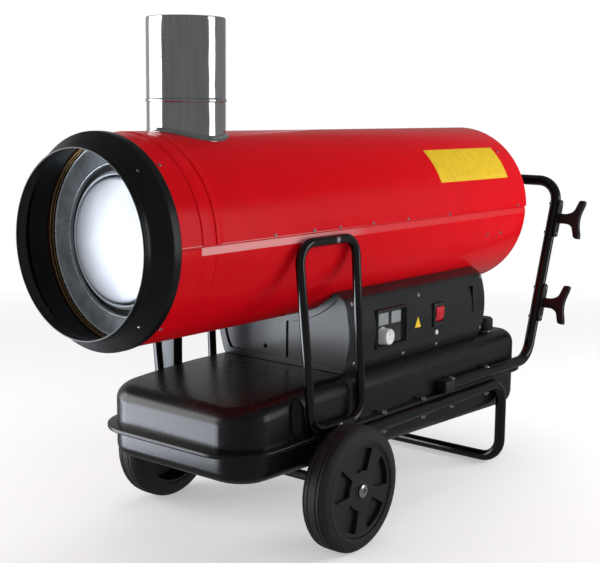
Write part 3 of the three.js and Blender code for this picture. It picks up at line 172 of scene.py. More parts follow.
SIZE_GROUPS = {
    "heater_barrel": HeaterBarrelSizes,
    "heater_flue": HeaterFlueSizes,
    "heater_tank": HeaterTankSizes,
    "heater_trolley": HeaterTrolleySizes,
    "heater_colours": HeaterColours,
}


# ---------------------------------------------------------------- mesh helpers
def along(station):
    """The Y coordinate of a station."""
    return CAD_LOW.y + station


def spot(x, station, z):
    return Vector((x, along(station), z))


def rounded(corners):
    """The corners as (first, second, rounding), the rounding 0 where it isn't given."""
    return [(*corner, 0)[:3] for corner in corners]


def round_off(bm, geometry, offset, segments, affect="EDGES"):
    bmesh.ops.bevel(
        bm,
        geom=geometry,
        offset=offset,
        offset_type="OFFSET",
        affect=affect,
        segments=segments,
        profile=0.5,
        material=-1,
        clamp_overlap=True,
    )


def flat_shape(points, segments=5):
    """A mesh with one flat face through the points. A second value rounds its corner."""
    bm = bmesh.new()
    corners = [(bm.verts.new(place), rounding) for place, rounding in points]
    bm.faces.new([vert for vert, rounding in corners])
    for rounding in sorted({r for vert, r in corners if r}):
        same = [vert for vert, r in corners if r == rounding]
        round_off(bm, same, rounding, segments, "VERTICES")
    return bm


def closed_up(bm, distance=1e-6):
    bmesh.ops.remove_doubles(bm, verts=bm.verts, dist=distance)
    bmesh.ops.recalc_face_normals(bm, faces=bm.faces)
    return bm


def lathe(profile, origin, axis, start=None, segments=96, sweep=FULL_TURN):
    """A profile turned about an axis."""
    axis, origin = Vector(axis), Vector(origin)
    start = Vector(start) if start else axis.orthogonal().normalized()
    bm = flat_shape([(origin + axis * a + start * r, c) for a, r, c in rounded(profile)])
    full = abs(sweep - FULL_TURN) < 1e-6
    geometry = list(bm.faces)
    if full:
        bmesh.ops.delete(bm, geom=bm.faces[:], context="FACES_ONLY")
        on_axis = [
            edge
            for edge in bm.edges
            if all((v.co - origin).cross(axis).length < 1e-7 for v in edge.verts)
        ]
        bmesh.ops.delete(bm, geom=on_axis, context="EDGES")
        geometry = bm.verts[:] + bm.edges[:]
    bmesh.ops.spin(
        bm,
        geom=geometry,
        cent=origin,
        axis=axis,
        angle=sweep,
        steps=segments,
        use_merge=full,
        use_duplicate=False,
    )
    return closed_up(bm)


def rod(begin, end, radius, origin, axis, start=None, segments=96):
    """A plain round bar between two distances along its axis."""
    line = [(begin, 0), (begin, radius), (end, radius), (end, 0)]
    return lathe(line, origin, axis, start, segments)


def slab(points, direction, depth, segments=5):
    """A flat shape, with (place, rounding) corners, drawn out along a direction."""
    bm = flat_shape(points, segments)
    drawn = bmesh.ops.extrude_face_region(bm, geom=bm.faces[:])
    moved = [v for v in drawn["geom"] if isinstance(v, bmesh.types.BMVert)]
    bmesh.ops.translate(bm, verts=moved, vec=Vector(direction) * depth)
    return closed_up(bm)


def box(low, high, rounding=0, segments=3, flat=False):
    """A block between two corners, each (x, station, z), or (x, y, z) if flat, edges rounded."""
    low, high = Vector(low), Vector(high)
    bm = bmesh.new()
    bmesh.ops.create_cube(bm, size=1)
    bmesh.ops.scale(bm, vec=high - low, verts=bm.verts)
    middle = (low + high) / 2
    if not flat:
        middle.y = along(middle.y)
    bmesh.ops.translate(bm, vec=middle, verts=bm.verts)
    if rounding:
        round_off(bm, bm.edges[:], rounding, segments)
    return bm


def turned_copies(count, axis, centre, part):
    """Copies of a part, made by calling it, spread evenly about an axis through the centre."""
    copies = []
    for i in range(count):
        made = part()
        turn = Matrix.Rotation(i * FULL_TURN / count, 3, axis)
        bmesh.ops.rotate(made, cent=(0, 0, 0), matrix=turn, verts=made.verts)
        bmesh.ops.translate(made, vec=centre, verts=made.verts)
        copies.append(made)
    return copies


def sliced(bm, stations):
    """Cuts edge loops into a mesh at the stations, so that it can bend there."""
    for station in stations:
        geometry = bm.verts[:] + bm.edges[:] + bm.faces[:]
        bmesh.ops.bisect_plane(bm, geom=geometry, plane_co=(0, along(station), 0), plane_no=Y)
    return bm


def sharp_edges(bm):
    return [edge for edge in bm.edges if edge.calc_face_angle(0) > 1]


def mirrored(bm):
    """The mesh's mirror image across the middle plane."""
    bmesh.ops.scale(bm, vec=(-1, 1, 1), verts=bm.verts)
    bmesh.ops.reverse_faces(bm, faces=bm.faces)
    return bm


def pan_head(place, outward, radius=0.0045, height=0.0024):
    """A screw's rounded head with the hollow for its driver."""
    profile = [
        (-0.0005, 0),
        (-0.0005, radius),
        (height * 0.4, radius, height * 0.3),
        (height, radius * 0.62, height * 0.3),
        (height, radius * 0.3),
        (height * 0.4, radius * 0.22),
        (height * 0.4, 0),
    ]
    return lathe(profile, place, outward, segments=20)


def hex_head(place, outward, radius, height):
    """A hexagonal bolt head or nut on its washer."""
    head = rod(0, height, radius, place, outward, segments=6)
    washer = rod(0, 0.0012, radius * 1.3, place, outward, segments=24)
    return gathered([head, washer])


def wire_circle(radius, sides, heading, place, filled=False):
    """A circle that faces along a heading, to be drawn out or spun."""
    bm = bmesh.new()
    bmesh.ops.create_circle(bm, cap_ends=filled, segments=sides, radius=radius)
    turn = Z.rotation_difference(heading).to_matrix()
    bmesh.ops.rotate(bm, cent=(0, 0, 0), matrix=turn, verts=bm.verts)
    bmesh.ops.translate(bm, vec=place, verts=bm.verts)
    return bm


def tube(corners, radius, bend, closed=False):
    """A round bar bent at each corner, (x, station, z), by a circle drawn and spun along it."""
    places = [spot(*corner) for corner in corners]
    if closed:
        middle = (places[0] + places[-1]) / 2
        places = [middle, *places, middle]
    heading = (places[1] - places[0]).normalized()
    bm = wire_circle(radius, 32, heading, places[0], not closed)
    end = [edge for edge in bm.edges]
    here = places[0]
    for i in range(1, len(places)):
        corner = places[i]
        setback, turning = 0, 0
        if i < len(places) - 1:
            onward = (places[i + 1] - corner).normalized()
            turning = heading.angle(onward)
            setback = bend * math.tan(turning / 2)
        stop = corner - heading * setback
        drawn = bmesh.ops.extrude_edge_only(bm, edges=end)["geom"]
        verts = [v for v in drawn if isinstance(v, bmesh.types.BMVert)]
        bmesh.ops.translate(bm, vec=stop - here, verts=verts)
        end = [e for e in drawn if isinstance(e, bmesh.types.BMEdge) and e.is_boundary]
        if turning:
            across = heading.cross(onward).normalized()
            spun = bmesh.ops.spin(
                bm,
                geom=end + list({v for e in end for v in e.verts}),
                cent=stop + across.cross(heading) * bend,
                axis=across,
                angle=turning,
                steps=14,
                use_duplicate=False,
            )["geom_last"]
            end = [e for e in spun if isinstance(e, bmesh.types.BMEdge)]
            here = corner + onward * setback
            heading = onward
    if not closed:
        bmesh.ops.contextual_create(bm, geom=end)
    return closed_up(bm, 1e-5)


def ring(origin, axis, radius, wire, segments=96):
    """A round wire bent into a ring."""
    axis = Vector(axis)
    start = axis.orthogonal().normalized()
    bm = wire_circle(wire, 12, axis.cross(start), Vector(origin) + start * radius)
    geometry = bm.verts[:] + bm.edges[:]
    bmesh.ops.spin(
        bm, geom=geometry, cent=origin, axis=axis, angle=FULL_TURN, steps=segments, use_merge=True
    )
    return closed_up(bm)


def link_mesh(name, bm):
    mesh = bpy.data.meshes.new(name)
    bm.to_mesh(mesh)
    bm.free()
    made = bpy.data.objects.new(name, mesh)
    bpy.context.scene.collection.objects.link(made)
    return made


def gathered(parts):
    """One mesh from several."""
    whole = bmesh.new()
    for part in parts:
        mesh = bpy.data.meshes.new("part")
        part.to_mesh(mesh)
        part.free()
        whole.from_mesh(mesh)
        bpy.data.meshes.remove(mesh)
    return whole


def cut_out(piece, cutters):
    """Takes the cutters' shape out of a piece's mesh."""
    cutter = link_mesh("cutter", gathered(cutters))
    modifier = piece.modifiers.new("Cut", "BOOLEAN")
    modifier.operation = "DIFFERENCE"
    modifier.solver = "EXACT"
    modifier.object = cutter
    bpy.context.view_layer.update()
    depsgraph = bpy.context.evaluated_depsgraph_get()
    cleared = bpy.data.meshes.new_from_object(piece.evaluated_get(depsgraph))
    piece.modifiers.clear()
    piece.data = cleared
    bpy.data.objects.remove(cutter)


def carved(bm, *cutters):
    """A mesh with the cutters' shapes taken out of it, one after another."""
    for cutter in cutters:
        whole = link_mesh("whole", bm)
        cut_out(whole, [cutter])
        bm = bmesh.new()
        bm.from_mesh(whole.data)
        bpy.data.objects.remove(whole)
    return bm


def make(name, parts, slot, look=None, body="heater", smooth=35, bevel=0, cutters=()):
    """One piece of the model: it takes the place of the frame's node of the same name."""
    piece = link_mesh(name, gathered(parts))
    if cutters:
        cut_out(piece, cutters)
    if not piece.data.polygons:
        raise RuntimeError(f"{name} has no faces")
    piece.data.shade_smooth()
    piece.data.set_sharp_from_angle(angle=math.radians(smooth))
    if bevel:
        modifier = piece.modifiers.new("Edges", "BEVEL")
        modifier.width = bevel
        modifier.segments = 2
        modifier.limit_method = "ANGLE"
        modifier.angle_limit = math.radians(smooth)
        modifier.harden_normals = True
    piece.data.materials.clear()
    piece.data.materials.append(finish(look or slot))
    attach(piece, body)
    if name in frame["nodes"]:
        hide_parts(name)


# ---------------------------------------------------------------- finishes
def add(tree, kind, inputs=(), **settings):
    """Adds a node. An input is a value, or another node's output to link."""
    made = tree.nodes.new(kind)
    for key, value in settings.items():
        setattr(made, key, value)
    for key, value in dict(inputs).items():
        if isinstance(value, bpy.types.NodeSocket):
            tree.links.new(value, made.inputs[key])
        else:
            made.inputs[key].default_value = value
    return made


def opaque(values):
    return (*values, 1)


def shade(values, factor):
    return opaque([min(1, v * factor) for v in values])


def emptied(owner):
    """The node tree of a new material or world, without its first nodes."""
    owner.use_nodes = True
    owner.node_tree.nodes.clear()
    return owner.node_tree


def new_material(name):
    """A material with an empty tree, and the piece's own coordinates in it."""
    material = bpy.data.materials.new(name)
    tree = emptied(material)
    return material, tree, add(tree, "ShaderNodeTexCoord").outputs["Object"]


def pattern(tree, place, size, detail=3, stretch=(1, 1, 1), roughness=0.5):
    """Clouds or grain whose features are about this size, in millimetres."""
    if stretch != (1, 1, 1):
        scaled = {"Vector": place, "Scale": stretch}
        place = add(tree, "ShaderNodeMapping", scaled).outputs["Vector"]
    inputs = {"Vector": place, "Scale": 1000 / size, "Detail": detail, "Roughness": roughness}
    return add(tree, "ShaderNodeTexNoise", inputs).outputs["Fac"]


# Nearly all values of a noise lie between these.
MIDDLE = (0.3, 0.7)
# The colour sockets of a Mix node, by their place, because its other kinds share their names.
FIRST, SECOND, MIXED = 6, 7, 2


def coated(material, tree, place, share, ends, rough, relief, metallic=0, gloss=0.5):
    """Ends a material whose colour lies between two by the share, and which has a fine relief."""
    tones = {"Factor": share, FIRST: ends[0], SECOND: ends[1]}
    tone = add(tree, "ShaderNodeMix", tones, data_type="RGBA").outputs[MIXED]
    grain, depth, strength = relief
    height = pattern(tree, place, *grain)
    hollows = {"Height": height, "Distance": depth / 1000, "Strength": strength}
    normal = add(tree, "ShaderNodeBump", hollows).outputs["Normal"]
    inputs = {"Base Color": tone, "Roughness": rough, "Normal": normal}
    inputs.update({"Metallic": metallic, "Specular IOR Level": gloss})
    shader = add(tree, "ShaderNodeBsdfPrincipled", inputs)
    add(tree, "ShaderNodeOutputMaterial", {"Surface": shader.outputs["BSDF"]})
    return material


def clouded(
    name, base, tones, rough, cloud, relief, metallic=0, gloss=0.5, dulled=None, middle=MIDDLE
):
    """A finish whose shade and roughness vary in clouds, with a fine relief.

    tones and rough are ranges, cloud and dulled the clouds of the shade and the roughness
    (size in mm, detail, stretch, roughness), relief the same with its depth in mm and strength.
    """
    material, tree, place = new_material(name)
    field = pattern(tree, place, *cloud)
    middle = {"Value": field, "From Min": middle[0], "From Max": middle[1]}
    share = add(tree, "ShaderNodeMapRange", middle).outputs["Result"]
    if dulled:
        field = pattern(tree, place, *dulled)
    middle = {"Value": field, "From Min": MIDDLE[0], "From Max": MIDDLE[1]}
    middle.update({"To Min": rough[0], "To Max": rough[1]})
    dull = add(tree, "ShaderNodeMapRange", middle).outputs["Result"]
    ends = [shade(base, tone) for tone in tones]
    return coated(material, tree, place, share, ends, dull, relief, metallic, gloss)


def enamel(name, base, rough, peel, specks, gloss):
    """Stoved paint: a level coat with faint orange peel and a few duller patches."""
    dull = (rough * 0.94, rough * 1.08)
    relief = ((3.2, 2), peel, 0.5)
    return clouded(name, base, (0.97, specks), dull, (60,), relief, 0, gloss, (25, 4))


def polished_steel(name, base, rough):
    """Bright sheet steel: sharp reflections that wander a little where the sheet isn't flat."""
    relief = ((62, 2, (1, 1, 0.55)), 1.6, 0.8)
    streaks = (9, 4, (1, 1, 0.12))
    return clouded(name, base, (0.9, 1.06), (rough * 0.8, rough * 1.3), streaks, relief, 1)


def blotchy_steel(name, base, rough):
    """Heated aluminised sheet: bright, with dull clouds and fine grain."""
    cloud = (38, 6, (1, 1, 1), 0.65)
    relief = ((1.2, 2), 0.04, 0.6)
    return clouded(name, base, (0.7, 1.5), (rough * 1.7, rough), cloud, relief, 0.4)


def dome_sheet(name, base, rough):
    """New aluminised sheet: pale and even, with broad soft clouds."""
    relief = ((1.5, 2), 0.02, 0.4)
    return clouded(name, base, (0.9, 1.06), (rough * 1.3, rough), (90, 2), relief, 0.3)


def tinted_steel(name, base, rough):
    """Steel coloured by heat, from straw to brown in bands along the barrel."""
    bands = (120, 4, (0.5, 3, 0.5))
    return clouded(name, base, (0.6, 1.35), (rough, rough * 1.5), bands, ((2, 3), 0.03, 0.5), 1)


def plated(name, base, rough, metallic=1):
    """Plated or cast metal: even, with a fine grain."""
    relief = ((0.8, 2), 0.02, 0.5)
    dull = (rough * 0.8, rough * 1.25)
    return clouded(name, base, (0.85, 1.1), dull, (6, 3), relief, metallic)


def moulded(name, base, rough, grain=0.6, depth=0.04):
    """Moulded plastic: matt or glossy, with a fine texture from its mould."""
    dull = (rough * 0.9, rough * 1.1)
    return clouded(name, base, (0.92, 1.08), dull, (18, 2), ((grain, 2), depth, 0.6))


def rubber(name, base):
    """Tyre rubber: matt, a little dusty and greyer in patches."""
    relief = ((0.9, 3), 0.06, 0.7)
    dust = (0.35, 0.75)
    return clouded(name, base, (0.9, 1.8), (0.55, 0.75), (14, 5), relief, middle=dust)


def seam_paint(name, pale, deep, rough):
    """Paint on the recessed seam: pale towards the front as a painted highlight of the joggle's
    reflection, full red behind the hoop.
    """
    pale_end, deep_start = 0.46, 0.60
    material, tree, place = new_material(name)
    parts = add(tree, "ShaderNodeSeparateXYZ", {"Vector": place})
    reach = {"Value": parts.outputs["Y"], "From Min": along(pale_end)}
    reach["From Max"] = along(deep_start)
    rear = add(tree, "ShaderNodeMapRange", reach).outputs["Result"]
    ends = (opaque(pale), opaque(deep))
    return coated(material, tree, place, rear, ends, rough, ((3, 2), 0.01, 0.5))


FINISHES = {}


def finish(slot):
    """The material of a slot, made when it is first asked for."""
    if not FINISHES:
        tones = bpy.context.scene.heater_colours
        FINISHES.update(
            # Red stoved enamel on the barrel: deep in colour, with soft wide highlights.
            red_paint=enamel("red_enamel", tones.red, 0.2, 0.012, 1.03, 0.08),
            # Semi-gloss black enamel on the tank.
            black_enamel=enamel("black_enamel", tones.black, 0.27, 0.002, 1.1, 0.36),
            # Satin black enamel on the ring, also on the black sleeve inside the outlet, which is
            # painted shade over the red shells.
            ring_enamel=enamel("ring_enamel", tones.black, 0.3, 0.006, 1.1, 0.3),
            # Glossy black paint on the bent tubes.
            black_tube=enamel("tube_paint", tones.tube, 0.12, 0.004, 1.1, 0.5),
            # Satin grey-black paint on the burner housing.
            grey_black_paint=enamel("housing_paint", tones.housing, 0.24, 0.01, 1.1, 0.34),
            # Mirror-bright flue pipe.
            stainless=polished_steel("polished_steel", tones.steel, 0.07),
            # The drum's bright but clouded front plate.
            aluminized_steel=blotchy_steel("aluminised_steel", tones.drum, 0.3),
            # Bronze tint of the liner.
            heated_steel=tinted_steel("heated_steel", tones.liner, 0.28),
            # Zinc-plated screws, bolts and inner brackets.
            zinc_steel=plated("zinc_plate", tones.zinc, 0.28),
            # Sand-cast aluminium of the motor, pump and fan.
            cast_aluminium=plated("cast_aluminium", to_linear("#9a9da0"), 0.5),
            # Plain brass of the nozzle and the fuel line.
            brass=plated("brass", to_linear("#b08d4a"), 0.3),
            # Off-white glazed ceramic of the electrodes.
            ceramic=moulded("ceramic", to_linear("#e9e6dc"), 0.3, 2, 0.01),
            # Matt black tyre rubber.
            tyre_rubber=rubber("tyre_rubber", tones.rubber),
            # Matt black mouldings.
            black_plastic=moulded("black_plastic", tones.moulding, 0.42),
            # Smooth white plastic of the knob and the button.
            white_plastic=moulded("white_plastic", tones.white, 0.35, 0.8, 0.01),
            # Glossy red rocker.
            red_plastic=moulded("red_plastic", tones.switch, 0.2, 0.8, 0.01),
            # Pale, hardly clouded cap of the chamber.
            dome_steel=dome_sheet("dome_steel", to_linear("#dde4ee"), 0.42),
            # Dull near-black steel used as painted shade: on the axle in place of its zinc, in the
            # channel round the chamber's cap and in the gap behind the drum's front.
            soot_black=moulded("dark_steel", to_linear("#0c0b0b"), 0.7, 1.5, 0.02),
            # Paler red on the seam's recessed strip and along the upper shell's edge: a painted
            # highlight, full red behind the hoop.
            seam_red=seam_paint("seam_strip", to_linear("#e68a8a"), tones.red, 0.3),
            # Bright rolled edges of the drum's front, paler than its sheet: partly a painted
            # highlight of the edges.
            edge_steel=plated("edge_steel", to_linear("#e9edf0"), 0.3, 0.5),
            # Bronze edge of the liner, paler than the liner: partly a painted highlight of the
            # edge.
            edge_bronze=plated("edge_bronze", to_linear("#b89468"), 0.3, 0.7),
            # Satin yellow vinyl of the blank plates.
            yellow_vinyl=moulded("yellow_vinyl", tones.label, 0.35, 1.5, 0.005),
            # Pale grey blank labels by the knob.
            grey_vinyl=moulded("grey_vinyl", to_linear("#8d9194"), 0.4, 1.5, 0.005),
            # Green solder mask of the control board.
            circuit_board=moulded("circuit_board", to_linear("#1f5b3a"), 0.4, 1.5, 0.05),
        )
    return FINISHES[slot]


# ---------------------------------------------------------------- operators
class HEATER_OT_stage(bpy.types.Operator):
    """Makes the floor, the world, the lights and the camera"""

    bl_idname = "heater.stage"
    bl_label = "Stage"

    def execute(self, context):
        self.world(context.scene)
        self.floor()
        self.screens()
        self.lights()
        self.camera(context.scene)
        context.scene.view_settings.view_transform = "Standard"
        return {"FINISHED"}

    def sight(self, tree):
        """1 for what the camera, a reflection or a clear piece shows, and 0 for light itself."""
        ray = add(tree, "ShaderNodeLightPath").outputs
        values = {0: ray["Is Camera Ray"], 1: ray["Is Glossy Ray"]}
        seen = add(tree, "ShaderNodeMath", values, operation="MAXIMUM")
        values = {0: seen.outputs["Value"], 1: ray["Is Transmission Ray"]}
        return add(tree, "ShaderNodeMath", values, operation="MAXIMUM").outputs["Value"]

    def world(self, scene):
        scene.world = bpy.data.worlds.new("studio")
        tree = emptied(scene.world)
        fill = add(tree, "ShaderNodeBackground", {"Color": (1, 1, 1, 1), "Strength": 0.34})
        white = add(tree, "ShaderNodeBackground", {"Color": (1, 1, 1, 1), "Strength": 1})
        shown = {0: self.sight(tree), 1: fill.outputs[0], 2: white.outputs[0]}
        both = add(tree, "ShaderNodeMixShader", shown)
        add(tree, "ShaderNodeOutputWorld", {"Surface": both.outputs["Shader"]})

    def floor(self):
        """A pale floor that fades into the white background and keeps the heater's shadow."""
        bm = bmesh.new()
        bmesh.ops.create_circle(bm, cap_ends=True, segments=64, radius=4)
        floor = link_mesh("floor", bm)
        material = bpy.data.materials.new("floor")
        tree = emptied(material)
        base = add(tree, "ShaderNodeBsdfDiffuse", {"Color": (0.8, 0.8, 0.8, 1)}).outputs[0]
        glow = add(tree, "ShaderNodeEmission", {"Strength": 0.36})
        lit = add(tree, "ShaderNodeAddShader", {0: base, 1: glow.outputs[0]})
        seen = {0: self.sight(tree), 1: base, 2: lit.outputs[0]}
        shown = add(tree, "ShaderNodeMixShader", seen)
        place = add(tree, "ShaderNodeTexCoord").outputs["Object"]
        reach = add(tree, "ShaderNodeVectorMath", {0: place}, operation="LENGTH")
        edge = {"Value": reach.outputs["Value"], "From Min": 1.2, "From Max": 3.2}
        fade = add(tree, "ShaderNodeMapRange", edge).outputs["Result"]
        clear = add(tree, "ShaderNodeBsdfTransparent")
        faded = {0: fade, 1: shown.outputs[0], 2: clear.outputs[0]}
        both = add(tree, "ShaderNodeMixShader", faded)
        add(tree, "ShaderNodeOutputMaterial", {"Surface": both.outputs["Shader"]})
        floor.data.materials.append(material)

    def screen(self, name, bm, strength, tone=(1, 1, 1)):
        """A screen that only reflections see, as a studio hangs them round bright metal."""
        hung = link_mesh(name, bm)
        material = bpy.data.materials.new(name)
        tree = emptied(material)
        glow = add(tree, "ShaderNodeEmission", {"Color": opaque(tone), "Strength": strength})
        add(tree, "ShaderNodeOutputMaterial", {"Surface": glow.outputs["Emission"]})
        hung.data.materials.append(material)
        hung.visible_camera = hung.visible_diffuse = False
        hung.visible_shadow = hung.visible_transmission = False

    def curved(self, profile, start, end):
        turn = math.radians(start)
        first = X * math.cos(turn) + Y * math.sin(turn)
        return lathe(profile, (0, 0, 0), Z, first, segments=24, sweep=math.radians(end - start))

    def screens(self):
        """Upright screens between two directions in degrees from +X, a roof and two low ones."""
        reach, foot, top, thin = 4.8, -1.6, 2.9, 0.02
        wall = [(foot, reach), (top, reach), (top, reach + thin), (foot, reach + thin)]
        for name, start, end, strength in (
            ("screen_front", -116, 18, 0.17),
            ("screen_side", 19, 42, 2.4),
            ("screen_rear", 43, 129, 0.24),
            ("screen_far", 130, 187, 0.42),
            ("screen_left", 188, 243, 1.3),
        ):
            self.screen(name, self.curved(wall, start, end), strength)
        roof = [(top, reach), (4.6, 2.6), (4.9, 0), (4.92, 0), (4.62, 2.6), (top + thin, reach)]
        self.screen("screen_roof", self.curved(roof, 0, 360), 0.13)
        low = [(-0.107, -0.945), (-1.24, -3.17), (-3.1, -1.28), (-0.68, -0.63)]
        table = flat_shape([(Vector((x, y, 0.003)), 0) for x, y in low])
        self.screen("screen_low", table, 8.8, (0.92, 0.97, 1.08))
        ground = bmesh.new()
        bmesh.ops.create_circle(ground, cap_ends=True, segments=64, radius=3.2)
        bmesh.ops.translate(ground, vec=(0, 0, 0.0015), verts=ground.verts)
        self.screen("screen_ground", ground, 0.2)

    def lamp(self, name, place, target, size, power, mirrored_in_gloss=True):
        light = bpy.data.lights.new(name, "AREA")
        light.shape = "RECTANGLE"
        light.size, light.size_y = size
        light.energy = power
        hung = bpy.data.objects.new(name, light)
        heading = Vector(target) - Vector(place)
        hung.location = place
        hung.rotation_euler = heading.to_track_quat("-Z", "Y").to_euler()
        hung.visible_camera = False
        hung.visible_glossy = mirrored_in_gloss
        bpy.context.scene.collection.objects.link(hung)

    def lights(self):
        self.lamp("left_box", (-1.85, -1.75, 0.86), (0, -0.35, 0.5), (2.1, 1.7), 40)
        self.lamp("side_box", (1.7, 1.75, 0.9), (0, 0.35, 0.5), (1.3, 1.4), 42, False)
        self.lamp("front_box", (1.6, -2.4, 1.5), (0, 0, 0.5), (1.6, 1.4), 7, False)
        self.lamp("top_box", (-0.4, 0.3, 3.2), (0, 0, 0.5), (1.6, 1.6), 14, False)

    def camera(self, scene):
        azimuth, elevation, roll = map(math.radians, (38.88, 8.43, 0.58))
        level = math.cos(elevation)
        back = (math.sin(azimuth) * level, -math.cos(azimuth) * level, math.sin(elevation))
        back = Vector(back)
        right = Vector((math.cos(azimuth), math.sin(azimuth), 0))
        up = back.cross(right)
        rolled = right * math.cos(roll) + up * math.sin(roll)
        upright = up * math.cos(roll) - right * math.sin(roll)
        lens = bpy.data.cameras.new("camera")
        lens.sensor_width = 36
        lens.lens = 68.62
        lens.shift_x, lens.shift_y = -0.0097, -0.0083
        camera = bpy.data.objects.new("camera", lens)
        turn = Matrix((rolled, upright, back)).transposed().to_4x4()
        camera.matrix_world = Matrix.Translation((1.55856, -2.0088, 0.8730)) @ turn
        scene.collection.objects.link(camera)
        scene.camera = camera


class HEATER_OT_shells(bpy.types.Operator):
    """Makes the barrel's red shells"""

    bl_idname = "heater.shells"
    bl_label = "Barrel shells"

    def execute(self, context):
        size, flue = context.scene.heater_barrel, context.scene.heater_flue
        origin = spot(0, 0, size.axis_height)
        seam = math.asin(size.seam_rise / size.radius)
        outer, band = size.radius, size.radius + size.band_rise
        hollow = size.radius + size.band_rise / 3
        crease, ramp, slit, flat = 0.0008, 0.002, 0.0004, 0.1
        joint = size.joint_front

        def upper(name, line, cutters=()):
            """The part of a turned sheet that lies above the seam, from its outer line."""
            inner = [(s, r - size.wall) for s, r, rounding in reversed(rounded(line))]
            start = X * math.cos(seam) + Z * math.sin(seam)
            sheet = lathe([*line, *inner], origin, Y, start, 110, -(math.pi - 2 * seam))
            make(name, [sheet], "red_paint", cutters=cutters)

        upper(
            "front_shell_upper",
            [
                (size.front, outer),
                (size.band_front, outer, 0.001),
                (size.band_front + ramp, band, 0.001),
                (joint - 2.4 * crease, band, 0.0008),
                (joint - crease, hollow),
            ],
        )
        upper(
            "main_shell_upper",
            [
                (joint + crease, hollow),
                (joint + 2.4 * crease, band, 0.0008),
                (size.band_rear - ramp, band, 0.001),
                (size.band_rear, outer, 0.001),
                (flue.station - flat, outer),
                (flue.station + flat, outer),
                (size.joint_rear - slit, outer),
            ],
            [rod(0, 0.6, flue.radius, spot(0, flue.station, size.axis_height), Z)],
        )
        upper(
            "rear_shell_upper",
            [
                (size.joint_rear + slit, outer),
                (size.upper_rear - 0.003, outer, 0.002),
                (size.upper_rear, outer - 0.0016),
            ],
        )
        self.lower_shells(size, origin)
        return {"FINISHED"}

    def lower_shells(self, size, origin):
        """The lower sheets, which step in at the side seams to lap inside the upper ones."""
        inner = size.radius - size.wall
        lap = inner - 0.0009
        lap_top, slit, no_step = 0.0130, 0.0004, 0.0006

        def drawn_out(line, side, front, rear):
            points = [(spot(side * x, front, size.axis_height + z), r) for x, z, r in rounded(line)]
            return slab(points, Y, rear - front)

        def sheet(front, rear, step):
            low = math.asin(step / size.radius)
            line = [
                (front, size.radius, 0.0006),
                (rear, size.radius, 0.0006),
                (rear, inner),
                (front, inner),
            ]
            start = X * math.cos(low) - Z * math.sin(low)
            parts = [lathe(line, origin, Y, start, 110, math.pi - 2 * low)]
            bend = 0.003 if step > 0.002 else 0
            lap_side = math.sqrt(lap**2 - lap_top**2)
            line = [
                (size.radius * math.cos(low), -step),
                (lap, -step * 0.1, bend),
                (lap_side, lap_top),
                (lap_side - size.wall, lap_top),
                (lap - size.wall, -step * 0.1, bend),
                (inner * math.cos(low), -step),
            ]
            return parts + [drawn_out(line, side, front, rear) for side in (1, -1)]

        strips = []
        # The joggled strip and a thin strip on the upper shell's lower edge take the seam paint.
        # Its pale front part is a painted highlight, and the thin edge strip is there only to paint
        # the edge's highlight.
        for side in (1, -1):
            line = [(0.1949, -0.0125), (0.1938, 0.0012), (0.1928, 0.0012), (0.1936, -0.0125)]
            strips.append(drawn_out(line, side, size.band_front, size.lower_rear))
            edge, height = side * size.radius, size.axis_height + size.seam_rise
            ends = sorted((edge, side * (size.radius + 0.0004)))
            low = (ends[0], size.front + 0.013, height)
            strips.append(box(low, (ends[1], size.upper_rear - 0.35, height + 0.0011)))
        make("seam_strips", strips, "red_paint", "seam_red")
        joint, step = size.joint_lower, size.joggle
        front = sheet(size.front, size.band_front, no_step)
        front += sheet(size.band_front, joint - slit, step)
        make("front_shell_lower", front, "red_paint")
        make("main_shell_lower", sheet(joint + slit, size.lower_rear, step), "red_paint")


class HEATER_OT_ring(bpy.types.Operator):
    """Makes the black outlet ring with its rolled rim"""

    bl_idname = "heater.ring"
    bl_label = "Outlet ring"

    def execute(self, context):
        size = context.scene.heater_barrel
        rim, wall = size.rim_radius, 0.0024
        collar = rim - 0.002
        band = size.radius + 0.0033
        profile = [
            (0.0, rim - 0.0036, 0.001),
            (0.0, rim - 0.0012, 0.001),
            (0.002, rim, 0.0016),
            (0.006, rim, 0.0016),
            (0.008, collar, 0.001),
            (0.020, collar, 0.006),
            (0.0415, band - 0.001, 0.004),
            (0.0445, band, 0.002),
            (0.0605, band, 0.001),
            (0.0620, band - wall / 2),
            (0.0620, band - wall),
            (0.0445, band - wall, 0.002),
            (0.0405, band - wall - 0.001, 0.004),
            (0.0210, collar - wall, 0.004),
            (0.008, collar - wall),
        ]
        body = lathe(profile, spot(0, 0, size.axis_height), Y, X, segments=180)
        make("outlet_ring", [body], "black_enamel", "ring_enamel")
        return {"FINISHED"}


